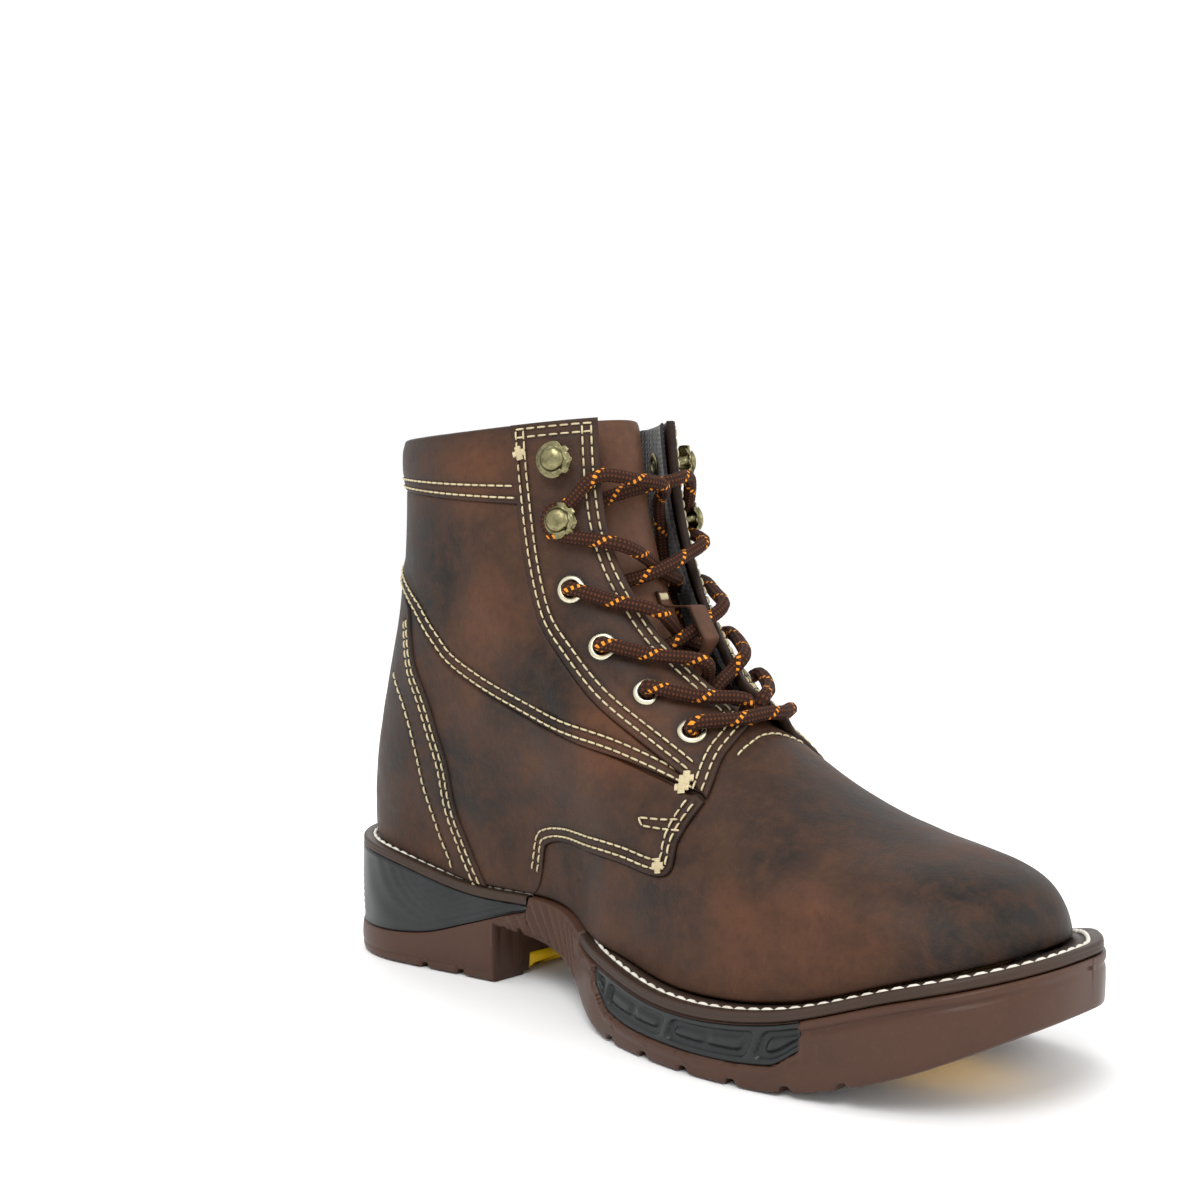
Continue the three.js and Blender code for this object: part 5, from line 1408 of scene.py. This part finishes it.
def make_sole():
    """The outsole and everything let into it: wedge, inserts, plate and windows."""
    outsole_x = np.concatenate([
        stations_between(-HALF, HEEL_BREAST_X - 0.05, 0.95, round_start=14),
        stations_between(HEEL_BREAST_X + 0.05, WEDGE_TIP_X, 1.0),
        stations_between(WEDGE_TIP_X + GAP, WELT_FRONT_X - GAP, 1.0),
        stations_between(WELT_FRONT_X, HALF, 0.9, round_end=14),
    ])

    def outsole_low(x, y):
        """The ground face with its tread cut in, rolled up along both sides."""
        cut = tread_recess(x, y)
        roll = 0.9 * np.exp(-((np.minimum(y + sole_edge(x, -1), sole_edge(x, 1) - y) / 0.8) ** 2))
        return bottom_z(x) + cut + roll * 0.6

    def outsole_high(x, y):
        """Under the wedge at the heel, up to the upper at the waist, under the welt in front."""
        return np.where(x <= WEDGE_TIP_X, wedge_low(x) - GAP,
                        np.where(x < WELT_FRONT_X - GAP / 2, feather(x) - GAP, body_top(x)))

    ring_solid("outsole_moulded", ["outsole"], outsole_x, sole_edges(), outsole_low, outsole_high,
               SOLE, across=128, up=22, top=8, wall=outsole_wall)

    def wedge_wall(x, z):
        """A slight belly with a level groove every 2.6 millimetres, drawn in at its lower edge."""
        low, high = wedge_low(x), body_top(x)
        share = np.clip((z - low) / np.maximum(high - low, 0.5), 0, 1)
        return 0.5 * np.sin(math.pi * share) - 0.35 * pulse(share * (high - low), 2.6, 0.7, 0.5) - (
            0.3 * np.exp(-((share / 0.05) ** 2)))

    ring_solid("heel_wedge_moulded", ["heel_wedge"],
               stations_between(-HALF, WEDGE_TIP_X - 1.2, 1.4, round_start=14), sole_edges(0.3),
               lambda x, y: wedge_low(x), lambda x, y: body_top(x), BLACK,
               across=12, up=22, top=12, wall=wedge_wall)

    def insert_edges(x, side):
        """The forefoot insert's pear outline."""
        return centre_y(x) + side * insert_half(np.clip(x, -6, 130))

    def insert_low(x, y):
        """Yellow tread: a row of rings down the middle, leaf shapes beside it and a raised rim."""
        away = np.abs(y - centre_y(x))
        half = insert_half(x)
        rim = smoothstep(2.4, 1.6, half - away)
        spacing = 19.0
        nearest = np.round((x - 6) / spacing) * spacing + 6
        r = np.hypot(x - nearest, y - centre_y(x))
        rings = band(r, 4.2, 5.6, 0.4) + smoothstep(2.2, 1.6, r)
        mid = nearest + spacing / 2 * np.sign(x - nearest)
        leaf_x, leaf_y = (x - mid) / 7.5, (away - 9) / 5.5
        leaf = smoothstep(1.0, 0.85, np.abs(leaf_y) + leaf_x**2 * 1.1) * (half > 13)
        vein = smoothstep(0.09, 0.04, np.abs(leaf_y)) * (np.abs(leaf_x) < 0.85)
        ripple = 0.16 * pulse(np.hypot(x - nearest, (y - centre_y(x))), 2.4, 0.9)
        raised = np.maximum(np.maximum(rim, np.clip(rings, 0, 1)), leaf * (1 - vein))
        return bottom_z(x) + 2.2 + 1.0 * (1 - raised) + ripple * (1 - raised)

    ring_solid("forefoot_insert_moulded", ["forefoot_tread_insert"],
               stations_between(-6, 130, 0.8), insert_edges, insert_low,
               lambda x, y: bottom_z(x) + 7.2, YELLOW, across=80, up=4,
               top=4)

    def heel_edges(x, side):
        """The heel insert's thimble outline."""
        return centre_y(np.minimum(x, HEEL_BREAST_X)) + side * heel_half(x)

    def heel_low(x, y):
        """Yellow heel tread: rings about a middle, bars beyond them and a raised rim."""
        away = np.abs(y - centre_y(x))
        rim = smoothstep(2.4, 1.6, heel_half(x) - away)
        r = np.hypot(x + 90, y - centre_y(x))
        rings = band(r, 4.6, 6.2, 0.4) + smoothstep(2.4, 1.8, r) + band(r, 9, 10.4, 0.4)
        bars = pulse(x, 5.2, 1.8) * (r > 12)
        raised = np.maximum(np.maximum(rim, np.clip(rings, 0, 1)), bars)
        return 2.2 + 1.0 * (1 - raised)

    ring_solid("heel_insert_moulded", ["heel_tread_insert"],
               stations_between(-124, HEEL_BREAST_X - GAP, 0.8), heel_edges, heel_low,
               lambda x, y: 7.2 + 0 * x, YELLOW, across=48, up=4, top=4)

    def plate_low(x, y):
        """The waist plate's face, sunk 0.35 millimetres within a rim."""
        away = np.abs(y - centre_y(x))
        rim = np.maximum(smoothstep(14.2, 14.8, away), 1 - band(x, -43.4, -23.6, 0.5))
        return tread_low(x) + 0.8 + 0.35 * (1 - rim)

    ring_solid("waist_plate_moulded", ["waist_plate"], stations_between(-45, -22, 0.8),
               lambda x, side: centre_y(x) + side * 16, plate_low,
               lambda x, y: tread_low(x) + 2.4, BLACK, across=50, up=3, top=4)

    for name, side in SIDES:
        x, v = np.meshgrid(np.linspace(WINDOW_FROM, WINDOW_TO, 150), np.linspace(0, 1, 26))
        low, high = window_low(x), body_top(x) - GAP
        z = lerp(low, high, v)
        border = np.minimum.reduce([x - WINDOW_FROM, WINDOW_TO - x, high - z, z - low])
        along = (x - 0.4 * z - WINDOW_FROM) % 33.0 - 16.5
        across = z - (high + low) / 2

        def lobe(half_length, half_height, corner):
            """How far inside a rounded rectangle, in millimetres."""
            dx = np.maximum(np.abs(along) - half_length + corner, 0)
            dz = np.maximum(np.abs(across) - half_height + corner, 0)
            return corner - np.hypot(dx, dz)

        half_height = (high - low) / 2 - 1.5
        pocket = smoothstep(-0.2, 0.6, lobe(15.4, half_height, 2.2))
        tongue = smoothstep(0.0, 1.6, lobe(13.2, half_height - 1.6, 2.0))
        waist = 1 - 0.8 * np.exp(-((along / 1.6) ** 2))
        out = -0.4 - 1.5 * pocket * smoothstep(0.6, 1.4, border) + 1.1 * tongue * waist
        outer = np.stack([x, side * (sole_edge(x, side) + out), z], -1)
        inner = np.stack([x, side * (sole_edge(x, side) - 4.8), z], -1)
        points, faces = shell(outer, inner)
        thing = to_mesh(f"midsole_window_{name}_barred", points, faces, BLACK)
        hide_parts(f"midsole_window_{name}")


def outline(start, tip):
    """The sole's edge from one side, round a tip and back along the other, a millimetre apart,
    with the inward direction at each point."""
    t = 1 - np.linspace(0, 1, 3000) ** 3
    x = lerp(tip, start, t)
    left = np.stack([x, -sole_edge(x, -1)], -1)
    right = np.stack([x, sole_edge(x, 1)], -1)[::-1]
    path = np.concatenate([left, right[1:]])
    length = np.concatenate([[0], np.cumsum(np.linalg.norm(np.diff(path, axis=0), axis=1))])
    even = np.linspace(0, length[-1], int(length[-1] / 1.1))
    path = np.stack([np.interp(even, length, path[:, k]) for k in range(2)], -1)
    smooth = path.copy()
    for _ in range(6):
        smooth[1:-1] = (smooth[:-2] + 2 * smooth[1:-1] + smooth[2:]) / 4
    tangent = unit(np.gradient(smooth, axis=0))
    inward = np.stack([tangent[:, 1], -tangent[:, 0]], -1)
    middle = smooth.mean(0)
    inward = np.where((((middle - smooth) * inward).sum(-1) < 0)[:, None], -inward, inward)
    return smooth, inward


WELT_SECTION = np.array([
    [11.5, 0.0], [7.6, 0.0], [6.6, -0.1], [6.1, -0.75], [4.4, -0.75], [3.9, -0.1], [3.3, 0.0],
    [1.5, 0.05], [0.8, -0.1], [0.35, -0.6], [0.25, -1.3], [0.5, -1.7], [0.25, -2.1],
    [0.3, -2.9], [0.7, -3.35], [11.5, -3.4],
])                                    # inwards from the edge, and down from the top face
WELT_SEAM_IN = 4.6                    # from the welt's outer edge to its stitches
WELT_STITCH_PITCH = 4.6
WELT_STITCH_LENGTH = 4.5
WELT_THREAD_RADIUS = 0.75


def make_welts():
    """Each welt is its section carried along the sole's edge; its stitches lie end to end in the
    groove of its top face."""
    for name, start, tip in (("forefoot", WELT_FRONT_X, HALF), ("heel", WEDGE_TIP_X - 1.2, -HALF)):
        path, inward = outline(start, tip)
        inset, drop = WELT_SECTION.T
        xy = path[:, None] + inward[:, None] * inset[None, :, None]
        z = feather(xy[..., 0]) - GAP + drop[None]
        rings = np.concatenate([xy, z[..., None]], -1)
        rows, columns = rings.shape[:2]
        ends = [np.arange(columns)[None], (np.arange(columns) + (rows - 1) * columns)[None, ::-1]]
        thing = to_mesh(f"welt_{name}_moulded", rings.reshape(-1, 3),
                        [grid_faces(rows, columns, close_columns=True), np.concatenate(ends)],
                        WELT)
        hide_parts(f"welt_{name}")
        seam = path + inward * WELT_SEAM_IN
        length = np.concatenate([[0], np.cumsum(np.linalg.norm(np.diff(seam, axis=0), axis=1))])
        count = int(length[-1] / WELT_STITCH_PITCH)
        place = (np.arange(count) + 0.5) * length[-1] / count
        spot = [np.stack([np.interp(place + shift, length, seam[:, k]) for k in range(2)], -1)
                for shift in (-1.8, 0, 1.8)]
        xyz = [np.concatenate([p, (feather(p[:, 0]) - GAP - 0.5)[:, None]], -1) for p in spot]
        along = unit(xyz[2] - xyz[0])
        side = unit(np.cross(along, (0, 0, 1.0)))
        points, faces = capsules(xyz[1], along, np.cross(side, along), WELT_STITCH_LENGTH,
                                 WELT_THREAD_RADIUS)
        to_mesh(f"welt_{name}_stitching", points, faces, WELT_THREAD)


# ------------------------------------------------------------------ inside the boot
def make_insides():
    """The footbed and the insole board, and the materials of the pieces no eye reaches."""
    board_inset = 2 + 1.2 + 1.8 + 3 * 1.2
    board_from, board_to = -149.5 + board_inset, 143 - board_inset

    def inside_edges(start, end, inset):
        """The last's outline, drawn in by an inset and closed at the toe and the heel."""
        def edges(x, side):
            """Half the piece's width at x, to the given side."""
            toe = end_cap((end - x) / 34, 2.6)
            heel = end_cap((x - start) / 38, 2.1)
            width = np.where(side < 0, medial_side(x), lateral_side(x)) - upper_inset(x) - inset
            return side * np.maximum(width * toe * heel, 0.4)
        return edges

    def high_of_board(x):
        """The insole board's top."""
        return feather(x) + GAP + 2.4

    def footbed_high(x, y):
        """A shaped top: a cupped heel, a raised arch and a rolled edge within five millimetres."""
        half = np.maximum(inside_edges(board_from + 2, board_to - 3, board_inset + 2.5)(x, 1), 1)
        out = np.clip(np.abs(y) / half, 0, 1)
        dish = -0.9 * (1 - out**2) * (0.4 + 0.6 * smoothstep(-60, -100, x))
        roll = -1.6 * smoothstep(0.94, 1.0, out)
        return high_of_board(x) + GAP + 5 + dish + roll

    ring_solid("footbed_moulded", ["footbed"],
               stations_between(board_from + 2, board_to - 3, 2.4, 14, 14),
               inside_edges(board_from + 2, board_to - 3, board_inset + 2.5),
               lambda x, y: high_of_board(x) + GAP, footbed_high, FOOTBED,
               across=16, up=6, top=46, body="footbed_insert")
    ring_solid("insole_board_cut", ["insole_board"],
               stations_between(board_from, board_to, 4, 16, 16),
               inside_edges(board_from, board_to, board_inset + 1),
               lambda x, y: feather(x) + GAP, lambda x, y: high_of_board(x), BOARD,
               across=16, up=3, top=16)
    for node, material in (
        ("bottom_filler", CORK), ("shank", STEEL), ("steel_toe_cap", STEEL),
        ("heel_counter", BOARD), ("toe_cap_edge_strip", BLACK),
    ):
        thing = frame["nodes"][node]
        thing.data.materials.clear()
        thing.data.materials.append(material)


# ------------------------------------------------------------------ lace
OVER, UNDER = 4.45, -7.15
CROSS_HIGH, CROSS_LOW = -1.6, -7.25


def through_eyelet(side, place):
    """Four points straight through an eyelet, from outside to inside."""
    return [(side, *place, depth) for depth in (OVER + 0.3, 1, -2, UNDER - 0.2)]


def crossing(side, low, high, on_top):
    """From inside one eyelet, under its facing, across the tongue and over the other facing."""
    (phi_a, u_a), (phi_b, u_b) = low, high
    edge_a = float(facing_edge(lerp(u_a, u_b, 0.3)))
    edge_b = float(facing_edge(lerp(u_a, u_b, 0.72)))
    middle = CROSS_HIGH if on_top else CROSS_LOW
    return [
        (side, lerp(phi_a, edge_a, 0.45), lerp(u_a, u_b, 0.14), UNDER - 0.2),
        (side, edge_a, lerp(u_a, u_b, 0.3), UNDER),
        (side, edge_a * 0.45, lerp(u_a, u_b, 0.42), lerp(UNDER, middle, 0.6)),
        (-side, 0, lerp(u_a, u_b, 0.52), middle),
        (-side, edge_b * 0.45, lerp(u_a, u_b, 0.61), lerp(middle, OVER, 0.4)),
        (-side, edge_b - 3, lerp(u_a, u_b, 0.7), OVER + 1),
        (-side, lerp(edge_b, phi_b, 0.5), lerp(u_a, u_b, 0.86), OVER + 0.4),
    ]


def place_points(places):
    """Each (side, phi, u, depth) as a point of the upper."""
    side, phi, u, depth = np.array(places, float).T
    return on_upper(side * phi, u, depth)


def hook_turn(side):
    """Round the lower hook's stem, from below, behind it, to above."""
    phi, u = HOOKS[0]
    normal = upper_normal(side * phi, u)
    rear = unit(upper(side * (phi + 2), u) - upper(side * phi, u))
    up = unit(np.cross(rear, normal)) * -side
    if up[2] < 0:
        up = -up
    centre = on_upper(side * phi, u, HOOK_UNDERSIDE - 2.4 - 0.4)
    radius = 2.1 + 2.4 + 0.4
    angle = np.radians([-100, -60, -20, 20, 60, 100])[:, None]
    return centre + rear * radius * np.cos(angle) + up * radius * np.sin(angle)


def lace_half(start):
    """One end's route: up through four eyelets, round the hook, and down behind the tongue."""
    order = (start, -start, start, -start)
    places = [(start, 14, 0.652, OVER + 0.3), *through_eyelet(start, EYELETS[0])]
    for i in (1, 2, 3):
        places += crossing(order[i - 1], EYELETS[i - 1], EYELETS[i], order[i - 1] < 0)
        places += through_eyelet(order[i], EYELETS[i])
    last = order[3]
    places += crossing(last, EYELETS[3], HOOKS[0], last < 0)[:-1]
    on_top = start < 0
    back = [
        (-last, 33, 0.952, OVER), (-last, 15, 0.95, 1.8 if on_top else -0.5),
        (last, 0, 0.948, 0 if on_top else -6.2), (last, 15, 0.944, -3.2 if on_top else -7),
        (last, 31, 0.935, UNDER - 0.2), (last, 42, 0.905, UNDER - 0.5),
        (last, 50, 0.86, UNDER - 0.6), (last, 56, 0.79, UNDER - 0.6),
        (last, 62, 0.71, UNDER - 0.6), (last, 70, 0.64, UNDER - 0.6),
        (last, 82, 0.6, UNDER - 0.6), (last, 96, 0.6, UNDER - 0.6),
    ]
    return np.concatenate([place_points(places), hook_turn(-last), place_points(back)])


def smooth_path(points, step):
    """Centripetal Catmull-Rom curve through the points, resampled at an even step."""
    p = np.concatenate([[2 * points[0] - points[1]], points, [2 * points[-1] - points[-2]]])
    t = np.concatenate([[0], np.cumsum(np.linalg.norm(np.diff(p, axis=0), axis=1) ** 0.5)])
    out = []
    for i in range(1, len(p) - 2):
        q = np.linspace(t[i], t[i + 1], 14)[:, None]
        a1 = (t[i] - q) / (t[i] - t[i - 1]) * p[i - 1] + (q - t[i - 1]) / (t[i] - t[i - 1]) * p[i]
        a2 = (t[i + 1] - q) / (t[i + 1] - t[i]) * p[i] + (q - t[i]) / (t[i + 1] - t[i]) * p[i + 1]
        a3 = ((t[i + 2] - q) / (t[i + 2] - t[i + 1]) * p[i + 1]
              + (q - t[i + 1]) / (t[i + 2] - t[i + 1]) * p[i + 2])
        b1 = (t[i + 1] - q) / (t[i + 1] - t[i - 1]) * a1 + (q - t[i - 1]) / (
            t[i + 1] - t[i - 1]) * a2
        b2 = (t[i + 2] - q) / (t[i + 2] - t[i]) * a2 + (q - t[i]) / (t[i + 2] - t[i]) * a3
        c = (t[i + 1] - q) / (t[i + 1] - t[i]) * b1 + (q - t[i]) / (t[i + 1] - t[i]) * b2
        out.append(c[:-1])
    out.append(points[-1:])
    path = np.concatenate(out)
    length = np.concatenate([[0], np.cumsum(np.linalg.norm(np.diff(path, axis=0), axis=1))])
    even = np.linspace(0, length[-1], int(length[-1] / step))
    return np.stack([np.interp(even, length, path[:, k]) for k in range(3)], -1), even


def tube_along(path, radius, sides):
    """Rings about a path, turned as little as can be from each one to the next."""
    tangent = unit(np.gradient(path, axis=0))
    across = np.empty_like(path)
    seed = np.cross(tangent[0], (0, 0, 1.0))
    for i, way in enumerate(tangent):
        seed = seed - way * (seed @ way)
        seed = seed / np.linalg.norm(seed)
        across[i] = seed
    up = np.cross(tangent, across)
    angle = np.arange(sides) * 2 * math.pi / sides
    r = np.broadcast_to(radius, (len(path), sides))
    return (path[:, None] + across[:, None] * (r * np.cos(angle))[..., None]
            + up[:, None] * (r * np.sin(angle))[..., None])


BRAID_TURN = 2.6                      # millimetres of lace for one turn of the braid
YARNS = 4
LACE_SIDES = 16
AGLET_LENGTH = 20
AGLET_RADIUS = 2.1


def make_lace():
    """One smooth path from end to end; the radius follows the braid, which is the product of a
    left-hand and a right-hand wave. An aglet grips each end."""
    halves = [lace_half(1), lace_half(-1)]
    middle = on_upper(0.0, 0.658, OVER + 0.5)[None]
    points = np.concatenate([halves[0][::-1], middle, halves[1]])
    path, along = smooth_path(points, 0.75)
    turn = np.linspace(0, 1, LACE_SIDES + 1)
    turns_along = along[:, None] / BRAID_TURN
    braid = np.sin(2 * math.pi * (turns_along + YARNS * turn)) * np.sin(
        2 * math.pi * (turns_along - YARNS * turn))
    taper = 1 - 0.12 * smoothstep(3, 0, np.minimum(along, along[-1] - along))[:, None]
    rings = tube_along(path, ((LACE_RADIUS - 0.1) + 0.14 * braid)[:, :-1] * taper, LACE_SIDES)
    rings = np.concatenate([rings, rings[:, :1]], 1)
    uv = np.stack(np.broadcast_arrays(turns_along / 3, turn[None]), -1)
    ring = np.arange(LACE_SIDES)
    caps = [ring[None, ::-1], (ring + (len(path) - 1) * (LACE_SIDES + 1))[None]]
    thing = to_mesh("lace_braided", rings.reshape(-1, 3),
                    [grid_faces(len(path), LACE_SIDES + 1), np.concatenate(caps)], LACE,
                    uv=uv.reshape(-1, 2), weld=True)
    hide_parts("lace")
    for i, half in enumerate(halves, 1):
        end, way = half[-1], unit(half[-1] - half[-2])
        tip = end + way * np.linspace(GAP, AGLET_LENGTH, 30)[:, None]
        share = np.linspace(0, 1, 30)[:, None]
        radius = AGLET_RADIUS * np.minimum(1, 0.75 + 0.25 * np.sqrt(np.clip((1 - share) * 9, 0, 1)))
        rings = tube_along(tip, radius, 20)
        faces = [grid_faces(30, 20, close_columns=True),
                 np.stack([np.arange(20)[::-1], np.arange(20) + 29 * 20])]
        thing = to_mesh(f"aglet_{i}_crimped", rings.reshape(-1, 3), faces, AGLET)
        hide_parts(f"aglet_{i}")


# ------------------------------------------------------------------ stage
WORLD_STRENGTH = 1.04
FLOOR_REACH = 12.0
FLOOR_Z = -0.0002                     # a hair under the tread, so the two never share a plane


def add_area(name, place, target, size, power):
    """A round white area light at a place, aimed at a target; metres and watts."""
    data = bpy.data.lights.new(name, "AREA")
    data.shape, data.size, data.energy = "DISK", size, power
    light = bpy.data.objects.new(name, data)
    bpy.context.scene.collection.objects.link(light)
    way = np.array(target, float) - np.array(place, float)
    light.matrix_world = Matrix.Translation(place) @ facing(way).to_4x4()


def facing(way, roll=0.0):
    """The turn that points an object's -Z along way, with its Y as near to up as it can be."""
    back = unit(-np.asarray(way, float))
    right = unit(np.cross((0, 0, 1.0), back))
    up = np.cross(back, right)
    right, up = (right * math.cos(roll) + up * math.sin(roll),
                 up * math.cos(roll) - right * math.sin(roll))
    return Matrix(np.stack([right, up, back], 1).tolist())


def make_stage():
    """A white room and floor, three soft lights, and the camera, whose direction is built from
    its yaw and pitch."""
    world = bpy.data.worlds.new("soft_white_room")
    bpy.context.scene.world = world
    world.use_nodes = True
    background = world.node_tree.nodes["Background"]
    background.inputs["Color"].default_value = (1.0, 1.0, 1.0, 1.0)
    background.inputs["Strength"].default_value = WORLD_STRENGTH
    floor_mesh = bpy.data.meshes.new("floor")
    r, low = FLOOR_REACH, FLOOR_Z
    corners = [(-r, -r, low), (r, -r, low), (r, r, low), (-r, r, low)]
    floor_mesh.from_pydata(corners, [], [(0, 1, 2, 3)])
    floor = bpy.data.objects.new("floor", floor_mesh)
    bpy.context.scene.collection.objects.link(floor)
    material, tree, shader = start_material("matt_white_floor")
    place = add(tree, "ShaderNodeTexCoord")
    paper = noise(tree, (place, "Object"), 60, 3, 0.5)
    tone = ramp(tree, (paper, 0), [(0.3, "#fafafa"), (0.7, "#fefefe")])
    tree.links.new(tone.outputs[0], shader.inputs["Base Color"])
    shader.inputs["Roughness"].default_value = 0.9
    floor_mesh.materials.append(material)
    add_area("key", (0.45, -0.75, 1.0), (0.03, 0, 0.08), 0.6, 8.0)
    add_area("fill", (1.1, 0.35, 0.7), (0, 0, 0.08), 0.9, 4.0)
    add_area("rim", (-0.9, 0.5, 0.9), (0, 0, 0.1), 0.8, 4.0)

    camera_data = bpy.data.cameras.new("camera")
    camera_data.sensor_width = 36
    camera_data.lens = 50.9
    camera = bpy.data.objects.new("camera", camera_data)
    bpy.context.scene.collection.objects.link(camera)
    yaw, pitch, roll = 0.776, 0.054, -0.008
    way = (-math.sin(yaw) * math.cos(pitch), math.cos(yaw) * math.cos(pitch), -math.sin(pitch))
    where = (0.3873, -0.4335, 0.1713)
    camera.matrix_world = Matrix.Translation(where) @ facing(way, roll).to_4x4()
    bpy.context.scene.camera = camera
    bpy.context.scene.view_settings.view_transform = "Standard"


make_stage()
make_sole()
make_welts()
make_insides()
make_linings()
make_upper()
bar_tacks()
make_tongue()
make_fittings()
make_lace()
